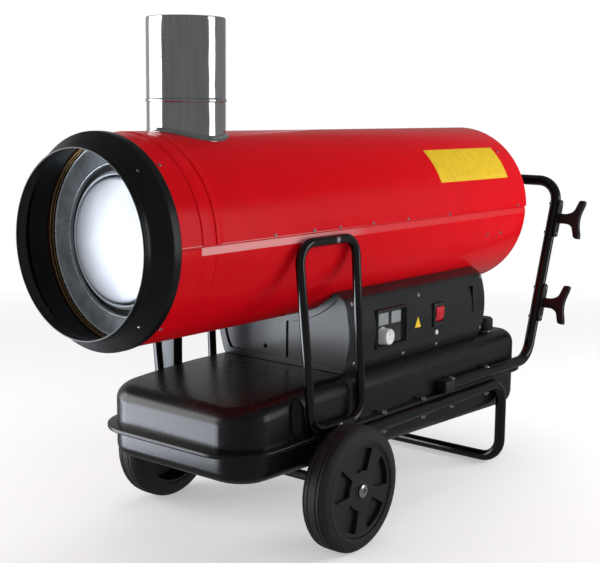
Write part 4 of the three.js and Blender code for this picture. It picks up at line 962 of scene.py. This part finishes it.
class HEATER_OT_core(bpy.types.Operator):
    """Makes the liner, the exchanger drum and the chamber's domed cap seen in the outlet"""

    bl_idname = "heater.core"
    bl_label = "Heat exchanger"

    def execute(self, context):
        size, flue = context.scene.heater_barrel, context.scene.heater_flue
        origin = spot(0, 0, size.axis_height)

        def turned(profile, segments=144):
            return lathe(profile, origin, Y, X, segments)

        def sleeve(front, rear, inner, outer, segments=96):
            return turned([(front, inner), (front, outer), (rear, outer), (rear, inner)], segments)

        def flue_hole():
            foot = spot(0, flue.station, size.axis_height)
            return rod(0, 0.6, flue.radius + 0.0003, foot, Z)

        def edges(wire, places):
            return [ring(spot(0, s, size.axis_height), Y, r, wire, 144) for s, r in places]

        inner, outer, end = 0.1868, 0.1886, 0.836
        liner = [(0.087, inner), (0.087, outer, 0.0008), (0.170, outer), (0.374, outer)]
        liner += [(0.834, outer), (0.834, 0.1893), (end, 0.1893), (end, inner)]
        liner += [(0.374, inner), (0.170, inner)]
        make("heat_shield_liner", [turned(liner)], "heated_steel", cutters=[flue_hole()])
        inner, outer = 0.1400, 0.1840
        drum = [(0.102, 0.1440, 0.0015), (0.102, 0.1800, 0.0015), (0.1008, 0.1830, 0.001)]
        drum += [(0.103, outer, 0.001), (0.170, outer), (0.374, outer), (0.790, outer, 0.002)]
        drum += [(0.790, inner, 0.002), (0.103, inner, 0.001), (0.1008, 0.1410, 0.001)]
        make("heat_exchanger", [turned(drum)], "aluminized_steel", cutters=[flue_hole()])
        inner, outer, end = 0.128, 0.130, 0.776
        chamber = [(0.120, inner), (0.120, outer), (end, outer, 0.004), (end, 0.0523)]
        chamber += [(end - 0.002, 0.0523), (end - 0.002, inner, 0.003)]
        make("combustion_chamber", [turned(chamber)], "stainless")
        dome = [(0.0842, 0), (0.0846, 0.030, 0.010), (0.0864, 0.060, 0.010)]
        dome += [(0.0902, 0.094, 0.012), (0.0935, 0.1140, 0.003), (0.1030, 0.1150)]
        dome += [(0.1040, 0.1130), (0.0960, 0.1110), (0.0922, 0.092), (0.0860, 0)]
        make("chamber_dome", [turned(dome)], "aluminized_steel", "dome_steel")
        rim = [(0.1045, 0.1190), (0.0965, 0.1195, 0.0006), (0.0955, 0.1208, 0.0006)]
        rim += [(0.0962, 0.1222, 0.0006), (0.1030, 0.1280, 0.003), (0.1197, 0.1300)]
        rim += [(0.1197, 0.1280), (0.1045, 0.1262)]
        make("dome_rim", [turned(rim)], "aluminized_steel", "dome_steel")
        # Painted shade: a near-black ring in the channel round the cap, and a near-black annulus at
        # the bottom of the gap between the chamber and the drum.
        channel = sleeve(0.1032, 0.1044, 0.1140, 0.1200)
        gap = sleeve(0.1085, 0.1095, 0.1295, 0.1397)
        make("dome_channel", [channel, gap], "black_enamel", "soot_black")
        # Thin rings on the drum's and the liner's rolled edges. Their tone, paler than the sheets,
        # is a painted highlight of the edges.
        rims = edges(0.0011, ((0.1010, 0.1412), (0.1008, 0.1829)))
        make("drum_edges", rims, "aluminized_steel", "edge_steel")
        rims = edges(0.0008, ((0.0975, 0.1860), (0.0905, 0.1861)))
        make("liner_edges", rims, "heated_steel", "edge_bronze")
        # Painted shade: a black sleeve lines the red shells just behind the ring, where they lie in
        # shade.
        lining = sleeve(0.0440, 0.0868, 0.1887, 0.1898, 144)
        make("outlet_sleeve", [lining], "black_enamel", "ring_enamel")
        return {"FINISHED"}


class HEATER_OT_flue(bpy.types.Operator):
    """Makes the polished flue pipe, its spigot and its saddle on the barrel"""

    bl_idname = "heater.flue"
    bl_label = "Flue"

    def execute(self, context):
        size, flue = context.scene.heater_barrel, context.scene.heater_flue
        foot = spot(0, flue.station, 0)
        wall, bead = 0.0016, 0.0016
        joint, top, radius = flue.joint, flue.top, flue.radius
        pipe = [
            (joint, radius - wall),
            (joint, radius + bead * 0.5, 0.0005),
            (joint + 0.0012, radius + bead, 0.001),
            (joint + 0.005, radius + bead, 0.001),
            (joint + 0.0075, radius, 0.001),
            (top - 0.006, radius, 0.001),
            (top - 0.004, radius - 0.0004, 0.0005),
            (top - 0.002, radius, 0.001),
            (top, radius - 0.0008, 0.0006),
            (top, radius - 0.0026, 0.0005),
            (top - 0.006, radius - 0.0026, 0.0005),
            (top - 0.007, radius - wall),
        ]
        make("flue_pipe", [lathe(pipe, foot, Z, X, segments=128)], "stainless")
        low, lip, slit = size.axis_height + 0.1685, joint + 0.016, 0.0003
        spigot = [
            (low, radius - wall * 2.2),
            (low, radius),
            (joint - slit, radius, 0.0005),
            (joint - slit, radius - wall * 1.2),
            (lip, radius - wall * 1.2),
            (lip, radius - wall * 2.2),
        ]
        saddle = [
            (0.0002, radius + 0.0002),
            (0.0002, radius + 0.0060, 0.0004),
            (0.0012, radius + 0.0060, 0.0004),
            (0.0020, radius + 0.0030, 0.001),
            (0.0080, radius + 0.0012, 0.002),
            (0.0082, radius + 0.0002),
        ]
        spigot, saddle = (lathe(line, foot, Z, X, segments=128) for line in (spigot, saddle))
        for vert in saddle.verts:
            reach = size.radius**2 - vert.co.x**2
            vert.co.z += size.axis_height + math.sqrt(reach)
        make("flue_spigot", [spigot, saddle], "stainless")
        return {"FINISHED"}


class HEATER_OT_barrel_details(bpy.types.Operator):
    """Makes the barrel's screws and its blank yellow plate"""

    bl_idname = "heater.barrel_details"
    bl_label = "Barrel details"

    def execute(self, context):
        size = context.scene.heater_barrel

        def on_shell(station, degrees):
            turn = math.radians(degrees)
            outward = X * math.cos(turn) + Z * math.sin(turn)
            return outward * size.radius + spot(0, station, size.axis_height), outward

        seam = [(s / 1000, 2.3) for s in (307.5, 423, 506, 618, 747, 914, 1228)]
        near = [(1.099, -16.3), (1.161, -16.3), (1.218, 44.9), (0.425, -6), (0.511, -6)]
        front = [(0.073, degrees) for degrees in (47, -47, 133, -133)]
        far = [(s, 180 - degrees) for s, degrees in seam]
        spots = (*seam, *near, *front, *far)
        heads = [pan_head(*on_shell(*place), 0.0036, 0.002) for place in spots]
        make("barrel_screws", heads, "zinc_steel")
        heads = []
        for turn in (47, 133, 227, 313):
            place, outward = on_shell(0.031, turn)
            place -= outward * (size.radius - 0.1828)
            heads.append(pan_head(place, outward, 0.0034, 0.0022))
            heads.append(pan_head(place - outward * 0.0022, -outward, 0.0024, 0.003))
        make("ring_screws", heads, "zinc_steel")
        start, end = 49.4, 23.4
        low, high = size.radius + 0.0001, size.radius + 0.0005
        plate = lathe(
            [(0.900, low), (0.900, high), (1.201, high), (1.201, low)],
            spot(0, 0, size.axis_height),
            Y,
            on_shell(0, start)[1],
            segments=14,
            sweep=math.radians(start - end),
        )
        make("yellow_plate", [plate], "white_plastic", "yellow_vinyl")
        return {"FINISHED"}


class HEATER_OT_tank(bpy.types.Operator):
    """Makes the fuel tank's two pressed halves and the flange between them"""

    bl_idname = "heater.tank"
    bl_label = "Fuel tank"

    def half(self, size, inset, wide, base, end, rounding, steps):
        """A plan drawn up or down from the flange line, with its far edge rounded."""
        front, rear = size.front + inset, size.rear - inset
        nose, tail = size.front_corner - inset, size.rear_corner - inset
        plan = [
            (spot(wide, front, base), nose),
            (spot(wide, rear, base), tail),
            (spot(-wide, rear, base), tail),
            (spot(-wide, front, base), nose),
        ]
        made = slab(plan, Z, end - base, segments=10)
        far = [e for e in made.edges if all(abs(v.co.z - end) < 1e-6 for v in e.verts)]
        round_off(made, far, rounding, steps)
        return made

    def execute(self, context):
        size = context.scene.heater_tank
        seam = (size.flange_top + size.flange_bottom) / 2
        slit, inset, wide = 0.00015, size.inset, size.body_half
        upper = self.half(size, inset, wide, seam + slit, size.top, size.top_round, 8)
        grooves = (0.372, 0.565)
        reach, depth = 0.024, 0.012
        stations = [g + reach * i / 6 for g in grooves for i in range(-6, 7)]
        stations += [0.22 + 0.02 * i for i in range(6)] + [0.425 + 0.02 * i for i in range(4)]
        sliced(upper, stations)
        nose = size.nose_rear - size.front - inset
        for vert in upper.verts:
            station = vert.co.y - along(0)
            for groove in grooves:
                across = min(1, abs(station - groove) / reach)
                limit = wide - depth * (0.5 + 0.5 * math.cos(math.pi * across))
                vert.co.x = max(-limit, min(limit, vert.co.x))
            share = min(1, max(0, (size.nose_rear - station) / nose))
            height = max(0, (vert.co.z - size.flange_top) / (size.top - size.flange_top))
            vert.co.z -= size.nose_fall * share**1.5 * height
        place = spot(size.filler_side, size.filler_station, 0)
        hole = rod(0.24, 0.35, 0.0193, place, Z, segments=40)
        make("tank_upper", [upper], "black_enamel", cutters=[hole])
        lower = self.half(size, inset, wide, seam - slit, size.bottom, size.bottom_round, 8)
        sliced(lower, [size.front + inset + 0.09 * i for i in range(1, 12)])
        middle = (size.front + size.rear) / 2
        slope = size.fall / (size.rear - size.front)
        for vert in lower.verts:
            level = (size.flange_bottom - vert.co.z) / (size.flange_bottom - size.bottom)
            offset = vert.co.y - along(middle)
            vert.co.z -= slope * offset * min(1, max(0, level))
        make("tank_lower", [lower], "black_enamel")
        for name, base, end in (
            ("tank_flange_upper", seam + slit, size.flange_top),
            ("tank_flange_lower", seam - slit, size.flange_bottom),
        ):
            make(name, [self.half(size, 0, size.flange_half, base, end, 0.0036, 4)], "black_enamel")
        return {"FINISHED"}


class HEATER_OT_filler(bpy.types.Operator):
    """Makes the filler neck and its ribbed cap"""

    bl_idname = "heater.filler"
    bl_label = "Filler and cap"

    def execute(self, context):
        size = context.scene.heater_tank
        foot = spot(size.filler_side, size.filler_station, size.top)
        outer, inner, lip = 0.0190, 0.0165, 0.0240
        neck = [(-0.0600, 0), (-0.0600, outer, 0.001), (0.0003, outer), (0.0003, lip, 0.0006)]
        neck += [(0.0028, lip, 0.0006), (0.0028, outer, 0.0006), (0.0203, outer, 0.0006)]
        neck += [(0.0203, inner, 0.0006), (-0.0575, inner, 0.001), (-0.0575, 0)]
        make("filler_neck", [lathe(neck, foot, Z, segments=40)], "zinc_steel")
        outer, inner, base, roof = 0.0218, 0.0198, 0.0031, 0.0301
        cap = [(base, inner), (base, outer, 0.0006), (0.0300, outer, 0.0015)]
        cap += [(0.0341, 0.0190, 0.0015), (0.0330, 0.0120, 0.0010), (0.0330, 0)]
        cap += [(roof, 0), (roof, inner)]

        def rib():
            return box((0.0205, -0.0017, 0.0045), (0.0230, 0.0017, 0.0290), 0.0007, 2, flat=True)

        parts = [lathe(cap, foot, Z, segments=60), *turned_copies(20, "Z", foot, rib)]
        make("fuel_cap", parts, "black_plastic", body="tank_cap")
        return {"FINISHED"}


class HEATER_OT_housing(bpy.types.Operator):
    """Makes the burner housing's front plate, rear cover, side panels and screws"""

    bl_idname = "heater.housing"
    bl_label = "Burner housing"

    foot = 0.3253
    foot_side = 0.166
    shoulder = (0.167, 0.481)
    lip = (0.141, 0.4944)
    bulge = 0.2015  # half width of the corner that the side's curve is rounded from
    front, rear = 0.558, 1.120
    plate_thick = 0.005
    bend_start, bend = 1.096, 0.0245

    def outline(self, inset, base, station):
        """Half the section inside the side panels, closed at the top by a straight line."""
        middle = (self.foot + self.shoulder[1]) / 2
        right = [
            (self.foot_side - inset, base, 0.004 if base > self.foot + 0.005 else 0),
            (self.bulge - inset, middle, 0.062),
            (self.shoulder[0] - inset, self.shoulder[1] - inset * 0.4, 0.006),
            (self.lip[0] - inset, self.lip[1], 0),
        ]
        left = [(-x, z, r) for x, z, r in reversed(right)]
        return [(spot(x, station, z), r) for x, z, r in (*right, *left)]

    def under_barrel(self, size, margin):
        return rod(0.4, 1.3, size.radius + margin, spot(0, 0, size.axis_height), Y, X, 160)

    def plate(self, size, front, rear, inset):
        outer = slab(self.outline(inset, self.foot + 0.0003, front), Y, rear - front, segments=12)
        return carved(outer, self.under_barrel(size, 0.0004))

    def panel(self, side):
        wall, curve = 0.002, 0.077
        middle = (self.foot + self.shoulder[1]) / 2
        section = [
            (self.foot_side, self.foot),
            (self.bulge, middle, curve),
            (*self.shoulder, 0.006),
            self.lip,
            (self.lip[0] - 0.0008, self.lip[1] - wall),
            (self.shoulder[0] - wall, self.shoulder[1] - wall * 0.8, 0.004),
            (self.bulge - wall * 1.1, middle, curve),
            (self.foot_side - wall, self.foot),
        ]
        points = [(spot(side * x, self.front, z), r) for x, z, r in rounded(section)]
        made = slab(points, Y, self.rear - self.front, segments=14)
        turns = [math.radians(12 * i) for i in range(7)]
        sliced(made, [self.bend_start + self.bend * math.sin(turn) for turn in turns])
        for vert in made.verts:
            vert.co.x -= side * self.turned_in(vert.co.y - along(0))
        return made

    def turned_in(self, station):
        """How far the side has come in towards the middle where it bends round the rear."""
        past = max(0, station - self.bend_start)
        return self.bend - math.sqrt(max(0, self.bend**2 - past**2))

    def skin(self, station, height):
        """A place on the near side panel and the direction that faces out from it."""
        rise = self.shoulder[1] - self.foot
        t = (height - self.foot) / rise
        x = 0.166 * (1 - t) ** 2 + 0.392 * t * (1 - t) + 0.167 * t**2
        slope = -0.332 * (1 - t) + 0.392 * (1 - 2 * t) + 0.334 * t
        outward = Vector((rise, 0, -slope)).normalized()
        return spot(x - self.turned_in(station), station, height), outward

    def execute(self, context):
        size = context.scene.heater_barrel
        paint = "grey_black_paint"
        front = self.plate(size, self.front, self.front + self.plate_thick, 0.0023)
        recess = slab(self.outline(0.016, self.foot + 0.014, 0.550), Y, 0.0120, segments=10)
        rib = box((-0.007, 0.54, 0.3), (0.013, 0.58, 0.5))
        front = carved(front, carved(recess, self.under_barrel(size, 0.016), rib))
        hole = rod(0.54, 0.58, 0.005, spot(-0.049, 0, 0.355), Y, segments=24)
        make("housing_front_plate", [front], paint, cutters=[hole], bevel=0.0014)
        gland = rod(1.1, 1.2, 0.0083, spot(0.110, 0, 0.372), Y, segments=32)
        cover = self.plate(size, self.rear - self.plate_thick, self.rear, 0.0175)
        make("housing_rear_cover", [cover], paint, cutters=[gland], bevel=0.0009)
        holes = [
            box((0.1, 0.6517, 0.3637), (0.3, 0.7683, 0.4493)),
            box((0.1, 0.8717, 0.3817), (0.3, 0.9183, 0.4363)),
            rod(0.1, 0.3, 0.0063, spot(0, 0.895, 0.367), X, segments=32),
        ]
        for side, word in SIDES:
            cuts = holes if side > 0 else ()
            make(f"side_panel_{word}", [self.panel(side)], paint, cutters=cuts, bevel=0.0006)
        spots = [(0.8235, 0.461), (0.7715, 0.336), (0.9075, 0.336), (1.098, 0.347)]
        spots += [(0.578, 0.471), (0.585, 0.344), (1.098, 0.472)]
        heads = []
        for station, height in spots:
            place, outward = self.skin(station, height)
            heads.append(pan_head(place, outward, 0.0055, 0.003))
            far = Vector((-place.x, place.y, place.z))
            heads.append(pan_head(far, Vector((-outward.x, 0, outward.z)), 0.0055, 0.003))
        make("housing_screws", heads, "zinc_steel")
        ribs = []
        for side in (1, -1):
            x = side * (self.skin(1.048, 0.425)[0].x + 0.0006)
            ribs.append(box((x - 0.0040, 1.0440, 0.393), (x + 0.0040, 1.0510, 0.457), 0.0030, 4))
        make("panel_ribs", ribs, paint, "black_tube")
        return {"FINISHED"}


class HEATER_OT_controls(bpy.types.Operator):
    """Makes the bezel with its blank labels, the knob, the rocker switch and the reset button"""

    bl_idname = "heater.controls"
    bl_label = "Controls"

    def execute(self, context):
        hub, button_axis = spot(0, 0.682, 0.390), spot(0, 0.895, 0.367)
        tray = box((0.1605, 0.652, 0.364), (0.1855, 0.768, 0.449), 0.0048, 5)
        well = box((0.1755, 0.657, 0.369), (0.2, 0.763, 0.444), 0.003, 3)
        spindle = rod(0.15, 0.2, 0.0034, hub, X, segments=20)
        make("control_bezel", [carved(tray, well)], "black_plastic", cutters=[spindle])
        labels = ((0.671, 0.706), (0.718, 0.754))
        plates = [box((0.1754, start, 0.412), (0.1759, end, 0.438)) for start, end in labels]
        make("blank_labels", plates, "white_plastic", "grey_vinyl")
        corners = ((0.7990, 0.3905), (0.8230, 0.3905), (0.8110, 0.4150))
        sign = slab([(spot(0.1810, s, z), 0) for s, z in corners], X, 0.0026)
        make("yellow_triangle", [sign], "white_plastic", "yellow_vinyl")
        self.knob(hub)
        surround = box((0.175, 0.872, 0.382), (0.187, 0.918, 0.436), 0.0024, 4)
        pocket = box((0.1775, 0.879, 0.3917), (0.2, 0.911, 0.4283))
        make("rocker_frame", [carved(surround, pocket)], "black_plastic")
        self.rocker()
        button = [(0.1675, 0), (0.1675, 0.006), (0.1800, 0.006, 0.001)]
        button += [(0.1815, 0.0045, 0.001), (0.1815, 0)]
        button = lathe(button, button_axis, X, segments=32)
        make("reset_button", [button], "white_plastic", body="reset")
        return {"FINISHED"}

    def knob(self, hub):
        base = 0.1758
        face = base + 0.0232
        line = [
            (base - 0.009, 0),
            (base - 0.009, 0.003),
            (base, 0.003),
            (base, 0.019, 0.0005),
            (base + 0.003, 0.019, 0.0010),
            (base + 0.0045, 0.0172, 0.0005),
            (face, 0.0165, 0.0020),
            (face, 0.0140, 0.0006),
            (base + 0.0224, 0.0132, 0.0006),
            (base + 0.0224, 0),
        ]
        grip = box((base + 0.0210, 0.6802, 0.3935), (base + 0.0239, 0.6838, 0.4045), 0.0008, 3)

        def flute():
            low, high = (base + 0.0050, -0.001, 0.0163), (base + 0.0205, 0.001, 0.0176)
            return box(low, high, 0.0005, 2, True)

        parts = [lathe(line, hub, X, segments=64), grip, *turned_copies(16, "X", hub, flute)]
        make("thermostat_knob", parts, "white_plastic", body="knob")

    def rocker(self):
        tilt = math.radians(8)
        half = [(0.0048, 0.0087, 0.003), (0.0020, 0.0173, 0.001), (-0.0013, 0.0173, 0.001)]
        section = [(-0.0040, 0, 0), *[(x, -z, r) for x, z, r in reversed(half)]]
        section += [(0.0055, 0, 0.003), *half]
        points = []
        for x, z, rounding in section:
            out = x * math.cos(tilt) + z * math.sin(tilt)
            up = z * math.cos(tilt) - x * math.sin(tilt)
            points.append((spot(0.184 + out, 0.8793, 0.410 + up), rounding))
        rocker = slab(points, Y, 0.0314)
        make("rocker_switch", [rocker], "red_plastic", body="rocker", bevel=0.0005)


class HEATER_OT_wheels(bpy.types.Operator):
    """Makes the two wheels, their caps and the axle"""

    bl_idname = "heater.wheels"
    bl_label = "Wheels"

    middle = 0.260  # distance of the tyre's middle from the middle plane

    def tyre(self, hub):
        half = [(0.0000, 0.1267), (0.0080, 0.1267), (0.0086, 0.1250), (0.0102, 0.1250)]
        half += [(0.0108, 0.1266), (0.0165, 0.1262), (0.0171, 0.1246), (0.0187, 0.1246)]
        half += [(0.0193, 0.1258), (0.0262, 0.1215, 0.006), (0.0304, 0.1110, 0.005)]
        half += [(0.0310, 0.1050, 0.0008), (0.0319, 0.1042, 0.0006), (0.0319, 0.0990, 0.0006)]
        half += [(0.0310, 0.0980, 0.0006), (0.0310, 0.0954)]
        half = rounded(half)
        line = [(-d, r, c) for d, r, c in reversed(half[1:])] + half
        return lathe(line, hub + X * self.middle, X, Z, segments=128)

    def rim(self, hub):
        face, web, bore, edge = 0.289, 0.276, 0.0103, 0.0952
        back, step, floor = 0.2270, 0.2310, 0.2785
        line = [
            (back, bore),
            (back, 0.0240, 0.002),
            (web, 0.0280, 0.004),
            (web, 0.0890, 0.004),
            (step, 0.0890),
            (step, edge, 0.001),
            (face - 0.001, edge),
            (face, 0.0945, 0.0006),
            (face, 0.0905, 0.0006),
            (face - 0.0012, 0.0895, 0.0006),
            (face - 0.0012, 0.0200, 0.0006),
            (face, 0.0190, 0.0006),
            (face, bore),
        ]
        made = lathe(line, hub, X, Z, segments=128)
        pockets = []
        for i in range(5):
            turn = math.radians(18 + 72 * i - 23)
            start = Y * math.cos(turn) + Z * math.sin(turn)
            line = [(floor, 0.040), (floor, 0.086), (0.3, 0.086), (0.3, 0.040)]
            pocket = lathe(line, hub, X, start, segments=10, sweep=math.radians(46))
            ends = []
            for edge in sharp_edges(pocket):
                heading = (edge.verts[0].co - edge.verts[1].co).normalized()
                if abs(heading.x) > 0.99:
                    ends.append(edge)
            round_off(pocket, ends, 0.007, 4)
            pockets.append(pocket)
        return carved(made, gathered(pockets))

    def execute(self, context):
        hub = spot(0, 0.465, 0.1267)
        seat, top, deep = 0.2893, 0.2946, 0.2898
        line = [(seat, 0), (seat, 0.0138, 0.0005), (0.2925, 0.0138, 0.001), (top, 0.0095, 0.002)]
        line += [(top, 0.0048, 0.0004), (deep, 0.0044), (deep, 0)]
        for side, word in SIDES:
            body = f"wheel_{word}"
            cap = lathe(line, hub, X, segments=48)
            tyre, rim = self.tyre(hub), self.rim(hub)
            if side < 0:
                tyre, rim, cap = mirrored(tyre), mirrored(rim), mirrored(cap)
            make(f"tyre_{word}", [tyre], "tyre_rubber", body=body)
            make(f"wheel_rim_{word}", [rim], "black_plastic", body=body, smooth=28)
            make(f"axle_cap_{word}", [cap], "stainless")
        collar = [(0.2128, 0.010, 0), (0.2128, 0.014, 0.001), (0.2267, 0.014, 0.001)]
        collar += [(0.2267, 0.010, 0), (0.289, 0.010, 0), (0.289, 0, 0)]
        bar = [(-a, r, c) for a, r, c in reversed(collar)] + collar
        # The axle is zinc-plated, but it takes the near-black painted-shade finish so that it reads
        # as shaded.
        make("axle", [lathe(bar, hub, X, segments=40)], "zinc_steel", "soot_black")
        return {"FINISHED"}


class HEATER_OT_trolley(bpy.types.Operator):
    """Makes the base frame, the push handle, the guard hoops, the stay and their bolts"""

    bl_idname = "heater.trolley"
    bl_label = "Trolley tubes"

    def execute(self, context):
        size, tank = context.scene.heater_trolley, context.scene.heater_tank
        side, wide, gap = size.side, size.tube_radius, 0.0003
        rail = tank.flange_bottom - gap - wide
        foot = wide - 0.0006
        seat = tank.flange_top + gap
        arm = seat + wide
        hoop_side = 0.195 + gap + size.hoop_radius
        hoop_foot = seat + size.hoop_radius
        hoop_top = 0.617

        def both_sides(line):
            """A bar's corners on the near side, and then the same on the far side."""
            return [(side, s, z) for s, z in line] + [(-side, s, z) for s, z in reversed(line)]

        stand = size.foot_station
        line = both_sides([(size.rail_front, rail), (stand, rail), (stand, foot)])
        frame_tube = tube(line, wide, 0.05)
        for vert in frame_tube.verts:
            vert.co.z = max(0, vert.co.z)
        axle_station, hanger_foot = 0.465, 0.1267 - 0.022
        parts = [frame_tube]
        for sign in (1, -1):
            line = [(-0.032, rail, 0), (-0.022, hanger_foot, 0.012)]
            line += [(0.022, hanger_foot, 0.012), (0.032, rail, 0)]
            x = side - 0.0025 if sign > 0 else -side - 0.0025
            parts.append(slab([(spot(x, axle_station + s, z), r) for s, z, r in line], X, 0.005))
        make("base_frame", parts, "black_tube", smooth=40)
        corner = size.handle_corner
        bar = corner + (size.handle_top - arm) * math.tan(size.lean)
        line = both_sides([(size.handle_front, arm), (corner, arm), (bar, size.handle_top)])
        make("push_handle", [tube(line, wide, 0.057)], "black_tube", smooth=40)
        cap_front, cap_rear = size.handle_front - 0.0083, size.handle_front - gap
        for sign, word in SIDES:
            low = (sign * side - 0.0133, cap_front, seat)
            high = (sign * side + 0.0133, cap_rear + 0.03, seat + 2 * wide + 0.0008)
            make(f"handle_end_cap_{word}", [box(low, high, 0.003, 3)], "black_plastic")
            low_side, top_side = sign * side, sign * hoop_side
            line = [(low_side, 0.403, hoop_foot), (low_side, 0.567, hoop_foot)]
            line += [(top_side, 0.543, hoop_top), (top_side, 0.363, hoop_top)]
            hoop = tube(line, size.hoop_radius, 0.038, closed=True)
            make(f"guard_hoop_{word}", [hoop], "black_tube", smooth=40)
        stay = box((-0.2476, 0.431, 0.255), (-0.1996, 0.457, 0.6072), 0.0012, 2)
        hollow = box((-0.26, 0.433, 0.257), (-0.2016, 0.455, 0.6052))
        make("hoop_stay_far", [carved(stay, hollow)], "grey_black_paint")
        heads = []
        for sign in (1, -1):
            x, under = sign * (side - 0.001), rail - wide + 0.001
            for s in (0.646, 0.798):
                heads.append(hex_head(spot(x, s, tank.flange_top), Z, 0.0075, 0.0055))
                heads.append(hex_head(spot(x, s, under), -Z, 0.0075, 0.007))
            for s in (0.917, 1.075):
                heads.append(pan_head(spot(x, s, arm + wide - 0.0008), Z, 0.0085, 0.0045))
                heads.append(hex_head(spot(x, s, under), -Z, 0.0075, 0.007))
            for centre, station, height in (
                (hoop_side, 0.474, hoop_top),
                (side, 0.484, hoop_foot),
            ):
                place = spot(sign * (centre + size.hoop_radius - 0.001), station, height)
                heads.append(pan_head(place, X * sign, 0.007, 0.004))
        make("trolley_bolts", heads, "zinc_steel")
        return {"FINISHED"}


class HEATER_OT_hooks(bpy.types.Operator):
    """Makes the two cord hooks on the handle's near leg"""

    bl_idname = "heater.hooks"
    bl_label = "Cord hooks"

    def execute(self, context):
        size, tank = context.scene.heater_trolley, context.scene.heater_tank
        gap, thick, depth = 0.0003, 0.005, 0.014
        arm = tank.flange_top + gap + size.tube_radius
        side = size.side + size.tube_radius + gap
        up = Vector((0, math.sin(size.lean), math.cos(size.lean)))
        across = up.cross(X)
        face = size.side + size.tube_radius + 0.071
        horn = [
            (side + 0.002, 0.0120, 0),
            (face - 0.038, 0.0120, 0.010),
            (face - 0.025, 0.0210, 0.006),
            (face - 0.0170, 0.0450, 0.004),
            (face - 0.0145, 0.0490, 0.003),
            (face - 0.0010, 0.0490, 0.004),
            (face, 0.0420, 0.006),
            (face - 0.0090, 0.0120, 0.012),
        ]
        horn += [(x, -w, r) for x, w, r in reversed(horn)]
        half, reach = 0.011, 0.0485
        corners = ((-half, -reach), (half, -reach), (half, reach), (-half, reach))
        screws = []
        for height, name in ((0.387, "cord_hook_lower"), (0.597, "cord_hook_upper")):
            station = size.handle_corner + (height - arm) * math.tan(size.lean)
            middle = spot(0, station, height)
            edge = middle - across * (depth / 2)
            body = slab([(edge + X * x + up * w, r) for x, w, r in horn], across, depth)
            round_off(body, sharp_edges(body), 0.0025, 3)
            spots = [(middle + X * side + across * a + up * b, 0.0095) for a, b in corners]
            plate = slab(spots, X, thick)
            round_off(plate, sharp_edges(plate), 0.0012, 2)
            for w in (-0.038, 0.038):
                place = middle + up * w
                screws.append(pan_head(place + X * (side + thick), X, 0.005, 0.003))
                inside = place + X * (size.side - size.tube_radius + 0.0005)
                screws.append(pan_head(inside, -X, 0.004, 0.004))
            make(name, [body, plate], "black_plastic")
        make("hook_screws", screws, "zinc_steel")
        return {"FINISHED"}


class HEATER_OT_rear(bpy.types.Operator):
    """Makes the wire guard at the barrel's rear"""

    bl_idname = "heater.rear"
    bl_label = "Rear guard"

    def execute(self, context):
        middle = spot(0, 1.266, context.scene.heater_barrel.axis_height)
        wire, reach = 0.0019, 0.187
        radii = (0.040, 0.0770, 0.1138, 0.1504, 0.1872)
        parts = [ring(middle, Y, radius, wire) for radius in radii]
        for i in range(4):
            turn = math.radians(45 * i)
            heading = X * math.cos(turn) + Z * math.sin(turn)
            parts.append(rod(-reach, reach, wire, middle, heading, segments=12))
        make("rear_guard", parts, "black_tube")
        return {"FINISHED"}


class HEATER_OT_cad_finishes(bpy.types.Operator):
    """Gives the frame's own pieces their finishes"""

    bl_idname = "heater.cad_finishes"
    bl_label = "Finishes of the frame's pieces"

    def execute(self, context):
        slots = {part["node"]: part["material_slot"] for part in frame["record"]["subparts"]}
        for name, node in frame["nodes"].items():
            node.data.materials.clear()
            node.data.materials.append(finish(slots[name]))
        return {"FINISHED"}


class HEATER_PT_pieces(bpy.types.Panel):
    """Lists the heater's sizes, colours and operators"""

    bl_idname = "HEATER_PT_pieces"
    bl_label = "Forced air heater"
    bl_space_type = "VIEW_3D"
    bl_region_type = "UI"
    bl_category = "Heater"

    def draw(self, context):
        for operator in OPERATORS:
            self.layout.operator(operator.bl_idname)
        for group, kind in SIZE_GROUPS.items():
            self.layout.label(text=group.replace("_", " "))
            for prop in kind.__annotations__:
                self.layout.prop(getattr(context.scene, group), prop)


OPERATORS = (
    HEATER_OT_stage,
    HEATER_OT_shells,
    HEATER_OT_ring,
    HEATER_OT_core,
    HEATER_OT_flue,
    HEATER_OT_barrel_details,
    HEATER_OT_tank,
    HEATER_OT_filler,
    HEATER_OT_housing,
    HEATER_OT_controls,
    HEATER_OT_wheels,
    HEATER_OT_trolley,
    HEATER_OT_hooks,
    HEATER_OT_rear,
    HEATER_OT_cad_finishes,
)


def register():
    for kind in (*SIZE_GROUPS.values(), *OPERATORS, HEATER_PT_pieces):
        bpy.utils.register_class(kind)
    for group, kind in SIZE_GROUPS.items():
        setattr(bpy.types.Scene, group, bpy.props.PointerProperty(type=kind))


def unregister():
    for group in SIZE_GROUPS:
        delattr(bpy.types.Scene, group)
    for kind in reversed((*SIZE_GROUPS.values(), *OPERATORS, HEATER_PT_pieces)):
        bpy.utils.unregister_class(kind)


def main():
    register()
    for operator in OPERATORS:
        family, name = operator.bl_idname.split(".")
        getattr(getattr(bpy.ops, family), name)()


if __name__ == "__main__":
    main()
